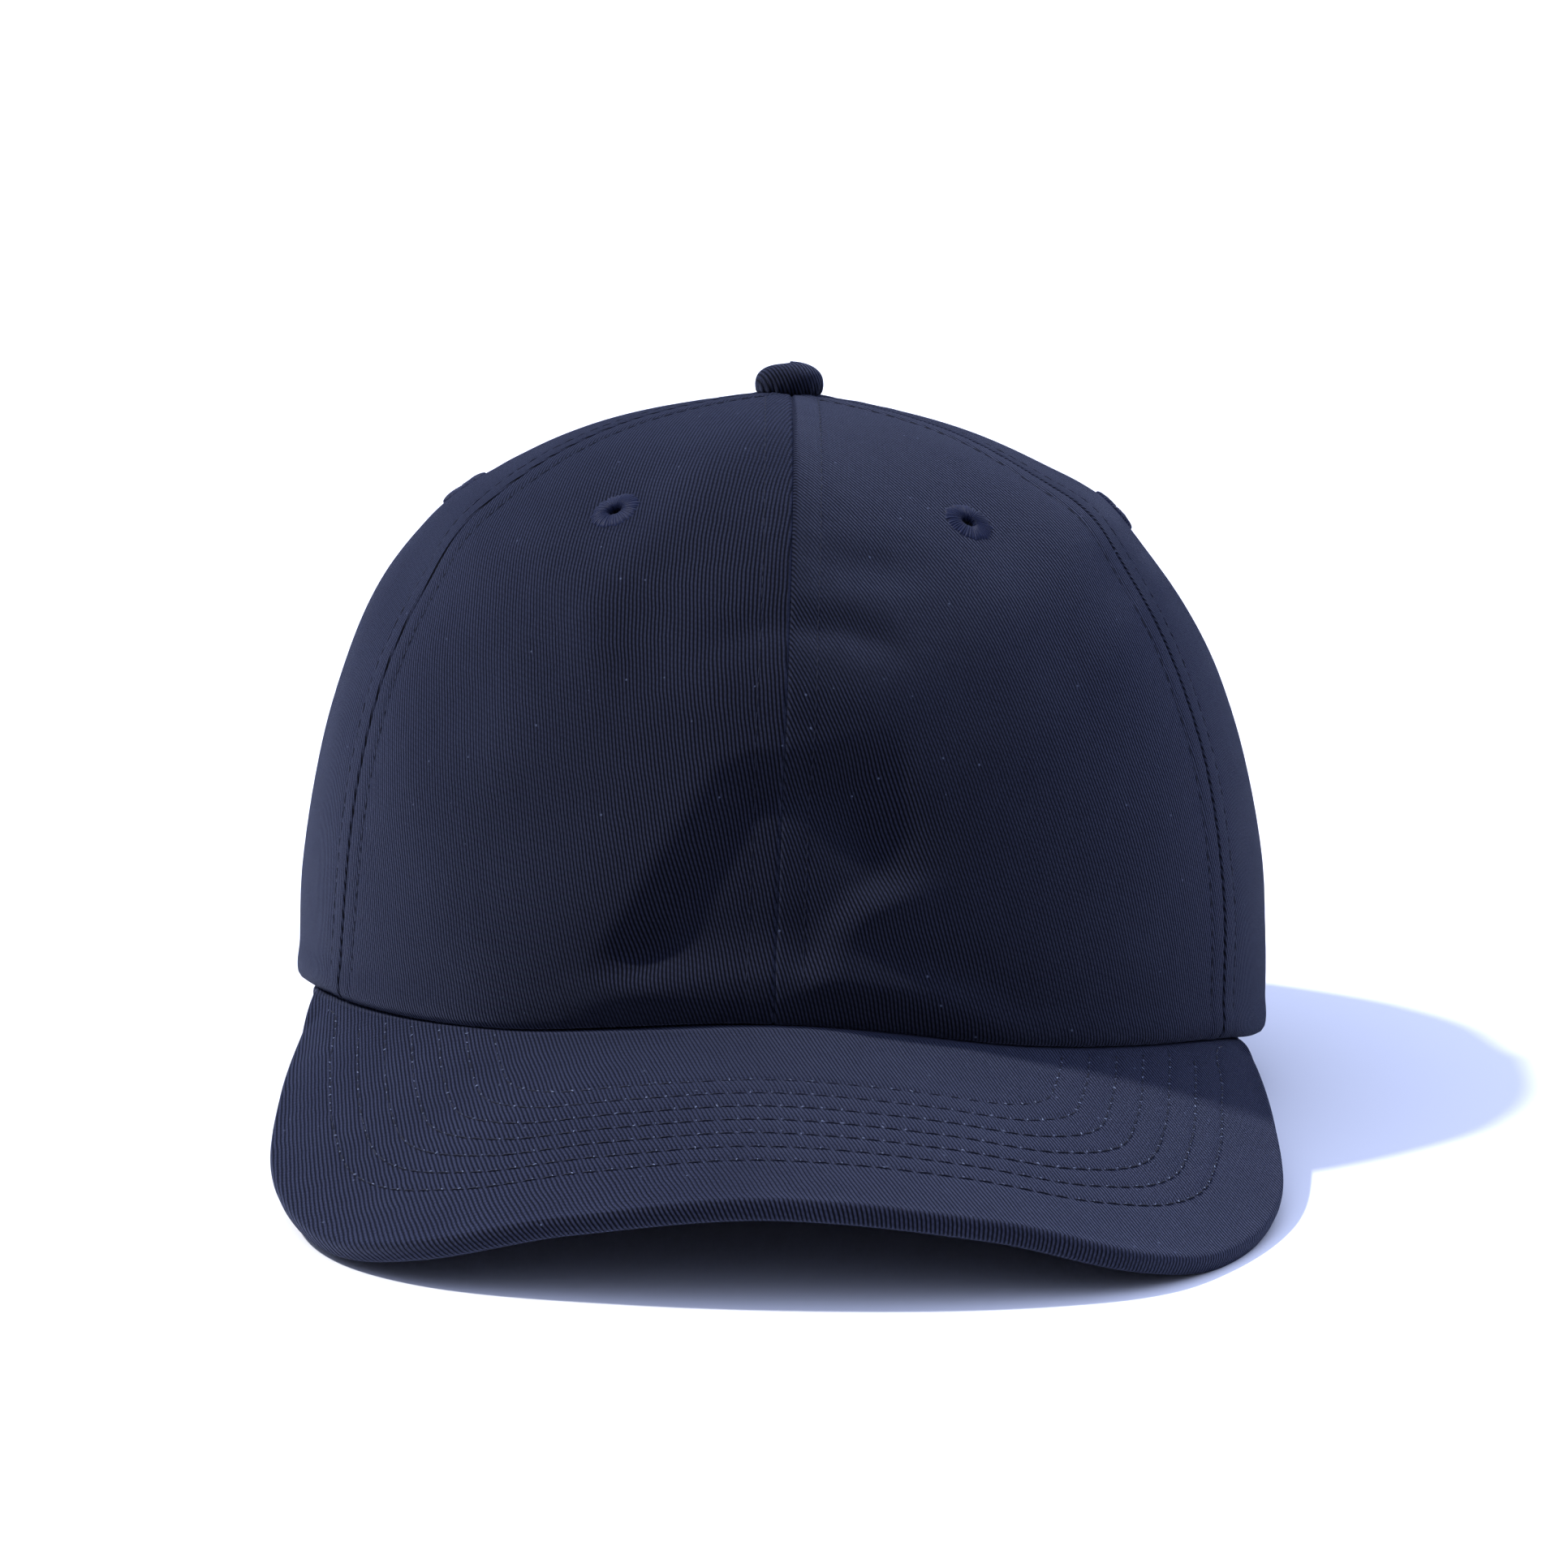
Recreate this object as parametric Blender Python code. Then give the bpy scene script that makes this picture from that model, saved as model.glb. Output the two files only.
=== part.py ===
"""A six-panel cotton baseball cap with a curved visor and a buckled back strap.

Run it with: blender --background --python part.py

Frame: metres, +Z up, the visor towards -Y, the origin at the centre of the head opening.
Angles round the cap are measured at the origin from the front (-Y), positive towards +X.
Every soft layer is a curved sheet at its own depth below the crown's outer face, with clear
gaps between layers, so the strap can slide in the pocket between the panels and the sweatband.
"""

import math

import bmesh
import bpy
from mathutils import Matrix, Vector

# Crown: the outer face of the six panels.
HALF_WIDTH = 0.0900
FRONT_LENGTH = 0.0970
CROWN_HEIGHT = 0.1159
SHOULDER_POWER = 2.48
TOP_SLOPE = 0.021
PANEL_COUNT = 6
PANEL_ANGLE = 360 / PANEL_COUNT
PANEL_FLATNESS = 0.0012
SEAM_GAP = 0.0004
CROWN_HOLE_RADIUS = 0.0026

# The crown's lower edge: (angle from the front in degrees, height). It rises over the visor.
RIM_LINE = ((0, 0.0100), (30, 0.0063), (60, 0.0052), (75, 0.0031), (92, 0.0008), (115, 0.0), (180, 0.0))

# Layers, as depths below the crown's outer face.
PANEL_THICKNESS = 0.0012
TAPE_DEPTH = 0.0016
TAPE_THICKNESS = 0.0006
BAND_DEPTH = 0.0052
BAND_THICKNESS = 0.0011

# Seam tapes and the sweatband.
TAPE_WIDTH = 0.0140
TAPE_TOP_RADIUS = 0.0150
TAPE_FOOT = 0.0020
BAND_TOP = 0.0320
BAND_END_ANGLE = 148.5
BAND_LAP = 0.0038

# Visor: its outer edge as (angle in degrees, radius, height of its upper face), right half.
VISOR_EDGE = (
    (0, 0.1620, -0.0116),
    (12.5, 0.1618, -0.0150),
    (22, 0.1600, -0.0204),
    (29, 0.1522, -0.0214),
    (38, 0.1370, -0.0168),
    (50, 0.1143, -0.0075),
    (62, 0.0982, -0.0006),
    (74, 0.0888, 0.0022),
)
VISOR_TIP_ANGLE = 74
VISOR_DROP = 0.0008
VISOR_ROOT_DEPTH = 0.0043
VISOR_ROOT_SLOPE = 0.08
COVER_THICKNESS = 0.0008
BOARD_THICKNESS = 0.0018
LAYER_GAP = 0.0003
EDGE_ROUND = 0.0010

# Eyelets, one near the top of each panel.
EYELET_RISE = 0.586
EYELET_HOLE_RADIUS = 0.0021
EYELET_BORE_RADIUS = 0.0013
EYELET_RADIUS = 0.0044
EYELET_THICKNESS = 0.0008

# Covered button on top.
BUTTON_RADIUS = 0.00635
BUTTON_HEIGHT = 0.0056
BUTTON_CLOTH = 0.0007
BUTTON_METAL = 0.0005
BUTTON_POST_RADIUS = 0.0013
BUTTON_BACK_RADIUS = 0.0060

# Arched opening at the back.
ARCH_HALF_WIDTH = 0.0450
ARCH_HEIGHT = 0.0480
ARCH_TAPE_WIDTH = 0.0090
ARCH_TAPE_FOOT = 0.0240

# Strap and buckle. The strap is an arc about the cap's vertical axis.
STRAP_RADIUS = 0.0865
STRAP_THICKNESS = 0.0012
STRAP_LOW = 0.0035
STRAP_HIGH = 0.0225
STRAP_SEWN_ANGLE = -37.0
STRAP_TAIL_ANGLE = 62.0
BUCKLE_ANGLE = 15.0
BUCKLE_LOW = 0.0010
BUCKLE_HIGH = 0.0250
WALL = 0.0020
BACK_PLATE_RADIUS = 0.0832
BACK_PLATE_THICKNESS = 0.0009
WALL_TOP_RADIUS = 0.0901
BUCKLE_LEFT = -0.0115
BUCKLE_RIGHT = 0.0090
BAR_PLACE = (-0.0095, 0.0884)
BAR_RADIUS = 0.0008
PIN_PLACE = (0.0070, 0.0884)
PIN_RADIUS = 0.0007
PIN_BORE_RADIUS = 0.0008
LEVER_CLEARANCE = 0.0004
TAB_RADIUS = 0.0875
TAB_THICKNESS = 0.0006
TAB_SEWN_ANGLE = 36.0

# Blank care label on the inside of the sweatband.
LABEL_ANGLES = (128.0, 139.0)
LABEL_LOW = 0.0070
LABEL_HIGH = 0.0300
LABEL_THICKNESS = 0.0004
LABEL_DEPTH = 0.0067

# Facets.
RISES = 14
PANEL_STEPS = 8
VISOR_STEPS = 36
ROUND_STEPS = 24

NAVY = (0.013, 0.017, 0.036)
NAVY_INSIDE = (0.016, 0.020, 0.040)
BRASS = (0.42, 0.31, 0.16)
STEEL = (0.55, 0.55, 0.56)
WHITE_PLASTIC = (0.78, 0.78, 0.76)
LABEL_WHITE = (0.75, 0.74, 0.71)


def smooth_line(points, at):
    """Values on a smooth line through (place, value, ...) points, flat at its two ends."""
    places = [p[0] for p in points]
    at = min(max(at, places[0]), places[-1])
    last = len(points) - 1
    i = max(k for k in range(last) if places[k] <= at)

    def slope(k, c):
        if k in (0, last):
            return 0.0
        return (points[k + 1][c] - points[k - 1][c]) / (places[k + 1] - places[k - 1])

    span = places[i + 1] - places[i]
    t = (at - places[i]) / span
    values = []
    for c in range(1, len(points[0])):
        a, b = points[i][c], points[i + 1][c]
        da, db = slope(i, c) * span, slope(i + 1, c) * span
        values.append(a + t * da + t * t * (3 * (b - a) - 2 * da - db) + t**3 * (2 * (a - b) + da + db))
    return values


def direction(angle):
    """The level unit vector at an angle from the front, in degrees."""
    return Vector((math.sin(math.radians(angle)), -math.cos(math.radians(angle)), 0))


def from_front(angle):
    """An angle folded to 0..180 degrees from the front, because the crown is the same on both sides."""
    return abs((angle + 180) % 360 - 180)


def base_radius(angle):
    """The crown's outer radius at its lower edge: half an ellipse in front, half a circle behind."""
    length = FRONT_LENGTH if from_front(angle) < 90 else HALF_WIDTH
    d = direction(angle)
    return 1 / math.hypot(d.x / HALF_WIDTH, d.y / length)


def rim_height(angle):
    return smooth_line(RIM_LINE, from_front(angle))[0]


def dome_point(angle, rise):
    """A point of the smooth dome that the panels follow. Rise goes from 0 at the rim to 1 at the top."""
    power = 2 / SHOULDER_POWER
    across = math.cos(rise * math.pi / 2) ** power
    up = math.sin(rise * math.pi / 2) ** power
    up -= TOP_SLOPE * 4 * across * (1 - across) * up**3
    rim = rim_height(angle)
    return direction(angle) * base_radius(angle) * across + Vector((0, 0, rim + (CROWN_HEIGHT - rim) * up))


def crown_point(angle, rise, depth=0.0):
    """A point at a depth below the crown's outer face. Panels are flatter between the seams."""
    step = 0.01
    low, high = max(rise - step, 1e-4), min(rise + step, 0.999)
    along = dome_point(angle + 1, rise) - dome_point(angle - 1, rise)
    up = dome_point(angle, high) - dome_point(angle, low)
    normal = along.cross(up).normalized()
    flat = PANEL_FLATNESS * math.sin(rise * math.pi) ** 2
    flat *= (1 - math.cos(math.radians(PANEL_COUNT * angle))) / 2
    return dome_point(angle, rise) - normal * (depth + flat)


def rise_at_radius(angle, radius):
    """The rise where the dome has this radius at this angle."""
    share = min(radius / base_radius(angle), 1.0)
    return math.acos(share ** (SHOULDER_POWER / 2)) / (math.pi / 2)


def rise_at_height(angle, height):
    """The rise where the dome has this height at this angle, found by halving."""
    low, high = 0.0, 1.0
    for _ in range(30):
        middle = (low + high) / 2
        if dome_point(angle, middle).z < height:
            low = middle
        else:
            high = middle
    return low


def crown_rises(angle, first, last):
    """The crown's common facet rows between two rises, so that stacked layers have parallel facets."""
    rows = [first]
    rows += [k / RISES for k in range(1, RISES) if first + 0.02 < k / RISES < last - 0.02]
    return rows + [last]


def material(name, colour, roughness, metallic=0.0):
    made = bpy.data.materials.get(name) or bpy.data.materials.new(name)
    made.use_nodes = True
    shader = made.node_tree.nodes["Principled BSDF"]
    shader.inputs["Base Color"].default_value = (*colour, 1)
    shader.inputs["Roughness"].default_value = roughness
    shader.inputs["Metallic"].default_value = metallic
    return made


def twill():
    return material("cotton_twill", NAVY, 0.9)


def lining():
    return material("cotton_tape", NAVY_INSIDE, 0.9)


def brass():
    return material("aged_brass", BRASS, 0.35, 1.0)


def add_object(name, bm, look, parent=None):
    """An object from a bmesh, shaded smooth up to 35 degrees."""
    bm.normal_update()
    mesh = bpy.data.meshes.new(name)
    bm.to_mesh(mesh)
    bm.free()
    obj = bpy.data.objects.new(name, mesh)
    bpy.context.scene.collection.objects.link(obj)
    obj.data.materials.append(look)
    obj.parent = parent
    mesh.shade_smooth()
    mesh.set_sharp_from_angle(angle=math.radians(35))
    return obj


def sheet(name, rows, thickness, look):
    """A thin solid: a grid of points on its outer face, with a Solidify that grows inwards."""
    bm = bmesh.new()
    grid = [[bm.verts.new(p) for p in row] for row in rows]
    for lower, upper in zip(grid, grid[1:]):
        for k in range(len(lower) - 1):
            bm.faces.new((lower[k], lower[k + 1], upper[k + 1], upper[k]))
    obj = add_object(name, bm, look)
    shell = obj.modifiers.new("thickness", "SOLIDIFY")
    shell.thickness = thickness
    shell.offset = -1
    shell.use_even_offset = True
    return obj


def box(name, low, high, look, parent=None, bevel=0.0):
    bm = bmesh.new()
    size = Vector(high) - Vector(low)
    middle = (Vector(high) + Vector(low)) / 2
    bmesh.ops.create_cube(bm, size=1, matrix=Matrix.Translation(middle) @ Matrix.Diagonal((*size, 1)))
    obj = add_object(name, bm, look, parent)
    if bevel:
        edge = obj.modifiers.new("edges", "BEVEL")
        edge.width = bevel
        edge.segments = 2
    return obj


def rod(name, place, radius, low, high, look, parent=None):
    """An upright cylinder at (across, out) between two heights, in its parent's frame."""
    bm = bmesh.new()
    middle = Matrix.Translation((place[0], place[1], (low + high) / 2))
    bmesh.ops.create_cone(
        bm, cap_ends=True, segments=ROUND_STEPS, radius1=radius, radius2=radius, depth=high - low, matrix=middle
    )
    return add_object(name, bm, look, parent)


def turned(name, profile, look, steps=ROUND_STEPS):
    """A solid of revolution about Z from a closed (radius, height) outline."""
    bm = bmesh.new()
    outline = [bm.verts.new((r, 0, z)) for r, z in profile]
    edges = [bm.edges.new((a, b)) for a, b in zip(outline, outline[1:] + outline[:1])]
    bmesh.ops.spin(
        bm, geom=outline + edges, cent=(0, 0, 0), axis=(0, 0, 1), angle=2 * math.pi, steps=steps, use_merge=True
    )
    bmesh.ops.remove_doubles(bm, verts=bm.verts[:], dist=1e-6)
    on_axis = [e for e in bm.edges if not e.link_faces]
    bmesh.ops.delete(bm, geom=on_axis, context="EDGES")
    bmesh.ops.recalc_face_normals(bm, faces=bm.faces[:])
    return add_object(name, bm, look)


def combine(obj, other, operation):
    """A Boolean with a helper solid that isn't part of the model."""
    other.hide_render = True
    other.display_type = "WIRE"
    joint = obj.modifiers.new(operation.lower(), "BOOLEAN")
    joint.operation = operation
    joint.object = other
    return obj


def place_on_crown(obj, angle, rise, depth=0.0):
    """Moves an object made about Z so that its Z axis points out of the crown there."""
    here = crown_point(angle, rise, depth)
    normal = (here - crown_point(angle, rise, depth + 0.001)).normalized()
    across = direction(angle + 90)
    up = normal.cross(across).normalized()
    turn = Matrix((across, up, normal)).transposed().to_4x4()
    obj.matrix_world = Matrix.Translation(here) @ turn
    return obj


def arch_prism(name, margin):
    """A half-moon prism through the back of the cap, wider than the arch by a margin."""
    half_width, height = ARCH_HALF_WIDTH + margin, ARCH_HEIGHT + margin
    steps = 28
    outline = [(half_width, -0.02)]
    for k in range(steps + 1):
        turn = math.pi * k / steps
        outline.append((half_width * math.cos(turn), height * math.sin(turn)))
    outline.append((-half_width, -0.02))
    bm = bmesh.new()
    face = bm.faces.new([bm.verts.new((x, 0.02, z)) for x, z in outline])
    moved = bmesh.ops.extrude_face_region(bm, geom=[face])["geom"]
    for v in moved:
        if isinstance(v, bmesh.types.BMVert):
            v.co.y = 0.13
    bmesh.ops.recalc_face_normals(bm, faces=bm.faces[:])
    return add_object(name, bm, lining())


def crown_panel(name, seam_angle):
    """One gore of the crown, from a seam to the next one round, with its eyelet hole."""
    rows = []
    top = rise_at_radius(seam_angle, CROWN_HOLE_RADIUS)
    for rise in crown_rises(seam_angle, 0.0, top):
        start = crown_point(seam_angle, rise)
        seam_share = math.degrees(math.asin(SEAM_GAP / 2 / math.hypot(start.x, start.y)))
        first, span = seam_angle + seam_share, PANEL_ANGLE - 2 * seam_share
        rows.append([crown_point(first + span * k / PANEL_STEPS, rise) for k in range(PANEL_STEPS + 1)])
    panel = sheet(name, rows, PANEL_THICKNESS, twill())
    hole = rod(name + "_hole", (0, 0), EYELET_HOLE_RADIUS, -0.006, 0.006, twill())
    place_on_crown(hole, seam_angle + PANEL_ANGLE / 2, EYELET_RISE)
    return combine(panel, hole, "DIFFERENCE")


def eyelet(name, angle):
    """A ring of embroidery on a panel's face, with a short sleeve of thread down its hole."""
    sleeve = EYELET_HOLE_RADIUS - LAYER_GAP
    face = LAYER_GAP
    profile = [
        (EYELET_BORE_RADIUS, -PANEL_THICKNESS),
        (sleeve, -PANEL_THICKNESS),
        (sleeve, face),
        (EYELET_RADIUS, face),
        (EYELET_RADIUS - 0.0003, face + EYELET_THICKNESS * 0.6),
        (EYELET_RADIUS - 0.0011, face + EYELET_THICKNESS),
        (EYELET_BORE_RADIUS + 0.0006, face + EYELET_THICKNESS * 0.8),
        (EYELET_BORE_RADIUS, face),
    ]
    return place_on_crown(turned(name, profile, twill(), 16), angle, EYELET_RISE)


def side_tape(name, seam_angle):
    """The tape over a side seam, from the rim to near the top."""
    rows = []
    first = rise_at_height(seam_angle, rim_height(seam_angle) + TAPE_FOOT)
    last = rise_at_radius(seam_angle, TAPE_TOP_RADIUS)
    for rise in crown_rises(seam_angle, first, last):
        radius = crown_point(seam_angle, rise, TAPE_DEPTH).xy.length
        spread = math.degrees(math.asin(TAPE_WIDTH / 2 / radius))
        rows.append([crown_point(seam_angle + spread * k, rise, TAPE_DEPTH) for k in (-1, -0.5, 0, 0.5, 1)])
    return sheet(name, rows, TAPE_THICKNESS, lining())


def centre_tape(name):
    """The long tape over the middle seam, from the front rim across the top to the back arch."""
    rows = []
    shares = (-1, -0.5, 0, 0.5, 1)
    last = rise_at_radius(0, TAPE_TOP_RADIUS)
    back_foot = ARCH_HEIGHT + ARCH_TAPE_WIDTH + 0.0008
    feet = {0: rim_height(0) + TAPE_FOOT, 180: back_foot}
    half = {}
    for seam_angle, foot in feet.items():
        half[seam_angle] = []
        for rise in crown_rises(seam_angle, rise_at_height(seam_angle, foot), last):
            radius = crown_point(seam_angle, rise, TAPE_DEPTH).xy.length
            spread = math.degrees(math.asin(TAPE_WIDTH / 2 / radius))
            side = 1 if seam_angle == 0 else -1
            half[seam_angle].append(
                [crown_point(seam_angle + side * spread * k, rise, TAPE_DEPTH) for k in shares]
            )
    rows = half[0]
    for y in (-0.010, -0.005, 0.0, 0.005, 0.010):
        row = []
        for k in shares:
            spot = Vector((TAPE_WIDTH / 2 * k, y, 0))
            angle = math.degrees(math.atan2(spot.x, -spot.y))
            height = dome_point(angle, rise_at_radius(angle, spot.length)).z
            row.append(spot + Vector((0, 0, height - TAPE_DEPTH)))
        rows.append(row)
    rows += reversed(half[180])
    tape = sheet(name, rows, TAPE_THICKNESS, lining())
    hole = rod(name + "_hole", (0, 0), CROWN_HOLE_RADIUS, CROWN_HEIGHT - 0.01, CROWN_HEIGHT + 0.01, lining())
    return combine(tape, hole, "DIFFERENCE")


def arch_tape(name):
    """The facing that binds the back arch from the inside, cut out of a patch of the crown's inside."""
    rows = []
    for rise in crown_rises(180, rise_at_height(180, 0.012), rise_at_height(180, 0.066)):
        rows.append([crown_point(180 + 46 * (k / 12 - 0.5) * 2, rise, TAPE_DEPTH) for k in range(13)])
    tape = sheet(name, rows, TAPE_THICKNESS, lining())
    combine(tape, arch_prism("arch_tape_outline", ARCH_TAPE_WIDTH), "INTERSECT")
    combine(tape, arch_prism("arch_tape_opening", 0.0), "DIFFERENCE")
    low = box("arch_tape_ends", (-0.08, 0.02, -0.03), (0.08, 0.13, ARCH_TAPE_FOOT), lining())
    return combine(tape, low, "DIFFERENCE")


def band_foot(angle):
    """The sweatband's lower edge: it laps over the visor's root in front and ends above the rim behind."""
    behind = smooth_line(((0, 0.0), (66, 0.0), (88, 1.0), (180, 1.0)), from_front(angle))[0]
    return rim_height(angle) - BAND_LAP * (1 - behind) + 0.0008 * behind


def upright_wall(name, angles, low, high, depth, thickness, look, steps):
    """An upright sheet at a depth inside the crown's lower edge. Low and high are functions of the angle."""
    rows = []
    for share in (0.0, 1.0):
        row = []
        for k in range(steps + 1):
            angle = angles[0] + (angles[1] - angles[0]) * k / steps
            d = direction(angle)
            row.append(d * (base_radius(angle) - depth) + Vector((0, 0, low(angle) * (1 - share) + high(angle) * share)))
        rows.append(row)
    return sheet(name, rows, thickness, look)


def sweatband(name):
    ends = (-BAND_END_ANGLE, BAND_END_ANGLE)
    return upright_wall(name, ends, band_foot, lambda angle: BAND_TOP, BAND_DEPTH, BAND_THICKNESS, lining(), 72)


def care_label(name):
    look = material("label_satin", LABEL_WHITE, 0.6)
    return upright_wall(
        name, LABEL_ANGLES, lambda a: LABEL_LOW, lambda a: LABEL_HIGH, LABEL_DEPTH, LABEL_THICKNESS, look, 4
    )


def visor_face(angle, inset):
    """A point of the visor's upper face. It runs straight out from the crown, and nearly level inside it."""
    edge_radius, edge_height = smooth_line(VISOR_EDGE, from_front(angle))
    root_radius = base_radius(angle)
    root_height = rim_height(angle) - VISOR_DROP
    slope = (edge_height - root_height) / max(edge_radius - root_radius, 0.006)
    radius = edge_radius - inset
    if radius < root_radius:
        slope = -VISOR_ROOT_SLOPE
    height = root_height + slope * (radius - root_radius)
    return direction(angle) * radius + Vector((0, 0, height))


def visor_point(angle, inset, depth=0.0):
    """A point at a depth below the visor's upper face."""
    step = 0.0005
    along = visor_face(angle + 0.5, inset) - visor_face(angle - 0.5, inset)
    inwards = visor_face(angle, inset + step) - visor_face(angle, inset - step)
    return visor_face(angle, inset) - along.cross(inwards).normalized() * depth


def visor_layer(name, edge_profile, root_depth, thickness, look):
    """A visor sheet. The profile lists (inset, depth) from the edge's end to where the flat face starts."""
    rows = []
    for k in range(VISOR_STEPS + 1):
        angle = VISOR_TIP_ANGLE * (1 - 2 * k / VISOR_STEPS)
        edge_radius = smooth_line(VISOR_EDGE, from_front(angle))[0]
        root_inset = edge_radius - (base_radius(angle) - VISOR_ROOT_DEPTH)
        row = [visor_point(angle, inset, depth) for inset, depth in edge_profile]
        first = edge_profile[-1][0]
        row += [visor_point(angle, first + (root_inset - first) * j / 4, root_depth) for j in range(1, 5)]
        rows.append(row)
    return sheet(name, rows, thickness, look)


def visor():
    """The stiff board between two covers. The upper cover wraps round the board's edge."""
    board_depth = COVER_THICKNESS + LAYER_GAP
    under_depth = board_depth + BOARD_THICKNESS + LAYER_GAP
    whole = under_depth + COVER_THICKNESS
    r = EDGE_ROUND
    wrap = [(r, whole), (0.3 * r, whole - 0.3 * r), (0.0, whole - r), (0.0, r), (0.3 * r, 0.3 * r), (r, 0.0)]
    visor_layer("visor_cover_top", wrap, 0.0, COVER_THICKNESS, twill())
    board_inset = COVER_THICKNESS + LAYER_GAP
    plastic = material("visor_board_plastic", WHITE_PLASTIC, 0.5)
    visor_layer("visor_board", [(board_inset, board_depth)], board_depth, BOARD_THICKNESS, plastic)
    under_inset = r + 2 * LAYER_GAP
    visor_layer("visor_cover_under", [(under_inset, under_depth)], under_depth, COVER_THICKNESS, twill())


def button():
    """The covered button: cloth over a metal cap with a post, and the back that grips it inside."""
    base = CROWN_HEIGHT + LAYER_GAP
    steps = 7

    def dome(radius, height, low):
        """A flat-bottomed dome's outline from the rim up to the axis."""
        points = [(radius - 0.0006, low)]
        for k in range(steps + 1):
            turn = math.pi / 2 * k / steps
            points.append((radius * math.cos(turn) ** 0.75, low + 0.0008 + (height - 0.0008) * math.sin(turn)))
        return points[:-1] + [(0.0, low + height)]

    outer = dome(BUTTON_RADIUS, BUTTON_HEIGHT, base)
    inner = dome(BUTTON_RADIUS - BUTTON_CLOTH, BUTTON_HEIGHT - BUTTON_CLOTH, base)
    turned("button_cover", outer + inner[::-1], twill())
    gap = BUTTON_CLOTH + LAYER_GAP
    shell = dome(BUTTON_RADIUS - gap, BUTTON_HEIGHT - gap, base)
    hollow = dome(BUTTON_RADIUS - gap - BUTTON_METAL, BUTTON_HEIGHT - gap - BUTTON_METAL, base)
    low = CROWN_HEIGHT - 0.0044
    post = [(BUTTON_POST_RADIUS, hollow[-2][1]), (BUTTON_POST_RADIUS, low), (0.0, low)]
    turned("button_shell", shell + post[::-1] + [p for p in hollow[::-1] if p[0] > BUTTON_POST_RADIUS], brass())
    back_top = CROWN_HEIGHT - TAPE_DEPTH - TAPE_THICKNESS - 0.0008
    bore = BUTTON_POST_RADIUS + 0.0003
    back = [
        (bore, back_top - 0.0016),
        (bore, back_top),
        (BUTTON_BACK_RADIUS, back_top),
        (BUTTON_BACK_RADIUS, back_top - 0.0005),
        (BUTTON_BACK_RADIUS - 0.0015, back_top - 0.0009),
        (bore + 0.0012, back_top - 0.0009),
        (bore + 0.0010, back_top - 0.0016),
    ]
    turned("button_back", back, brass())


def band_round_axis(name, angles, radius, low, high, thickness, look, steps):
    """A strip bent round the cap's vertical axis. Angles are from the back, positive towards -X."""
    rows = []
    for height in (low, high):
        row = []
        for k in range(steps + 1):
            angle = 180 + angles[0] + (angles[1] - angles[0]) * k / steps
            row.append(direction(angle) * radius + Vector((0, 0, height)))
        rows.append(row)
    return sheet(name, rows, thickness, look)


def buckle(mount):
    """The clamp buckle. In its frame X runs along the strap and Y points out of the cap."""
    metal = brass()
    walls = ((BUCKLE_LOW, BUCKLE_LOW + WALL), (BUCKLE_HIGH - WALL, BUCKLE_HIGH))
    plate_top = BACK_PLATE_RADIUS + BACK_PLATE_THICKNESS
    low_corner = (BUCKLE_LEFT, BACK_PLATE_RADIUS, BUCKLE_LOW)
    frame = box("buckle_frame", low_corner, (BUCKLE_RIGHT, plate_top, BUCKLE_HIGH), metal, mount)
    for k, (low, high) in enumerate(walls):
        ends = (BUCKLE_LEFT, BACK_PLATE_RADIUS + 0.0001, low), (BUCKLE_RIGHT, WALL_TOP_RADIUS, high)
        combine(frame, box(f"buckle_wall_{k}", *ends, metal, mount, bevel=0.0005), "UNION")
    middle = BUCKLE_LOW + WALL / 2, BUCKLE_HIGH - WALL / 2
    combine(frame, rod("buckle_bar", BAR_PLACE, BAR_RADIUS, *middle, metal, mount), "UNION")
    bore = rod("buckle_pin_holes", PIN_PLACE, PIN_BORE_RADIUS, -0.005, 0.035, metal, mount)
    combine(frame, bore, "DIFFERENCE")
    rod("buckle_pin", PIN_PLACE, PIN_RADIUS, BUCKLE_LOW + 0.0003, BUCKLE_HIGH - 0.0003, metal, mount)

    low, high = walls[0][1] + LEVER_CLEARANCE, walls[1][0] - LEVER_CLEARANCE
    pivot = bpy.data.objects.new("buckle_lever_pivot", None)
    bpy.context.scene.collection.objects.link(pivot)
    pivot.parent = mount
    pivot.location = (*PIN_PLACE, 0)
    lever = rod("buckle_lever", (0, 0), 0.0016, low, high, metal, pivot)
    combine(lever, box("lever_plate", (-0.0135, 0.0001, low), (0.0, 0.0015, high), metal, pivot), "UNION")
    combine(lever, box("lever_tooth", (-0.0042, -0.0017, low), (-0.0018, 0.0008, high), metal, pivot), "UNION")
    combine(lever, box("lever_lip", (-0.0140, 0.0006, low), (-0.0125, 0.0026, high), metal, pivot), "UNION")
    combine(lever, rod("lever_bore", (0, 0), PIN_BORE_RADIUS, -0.005, 0.035, metal, pivot), "DIFFERENCE")


def buckle_tab(mount):
    """The short cloth tab that loops round the buckle's bar and is sewn under the rear panel."""
    low, high = BUCKLE_LOW + WALL + LEVER_CLEARANCE, BUCKLE_HIGH - WALL - LEVER_CLEARANCE
    start = BUCKLE_ANGLE + math.degrees(math.atan2(-BAR_PLACE[0], BAR_PLACE[1]))
    ends = (start, TAB_SEWN_ANGLE)
    tab = band_round_axis("buckle_tab", ends, TAB_RADIUS, low, high, TAB_THICKNESS, twill(), 6)
    combine(tab, rod("tab_loop", BAR_PLACE, BAR_RADIUS + 0.0011, low, high, twill(), mount), "UNION")
    bore = rod("tab_loop_hole", BAR_PLACE, BAR_RADIUS + LAYER_GAP, low - 0.001, high + 0.001, twill(), mount)
    combine(tab, bore, "DIFFERENCE")


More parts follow.
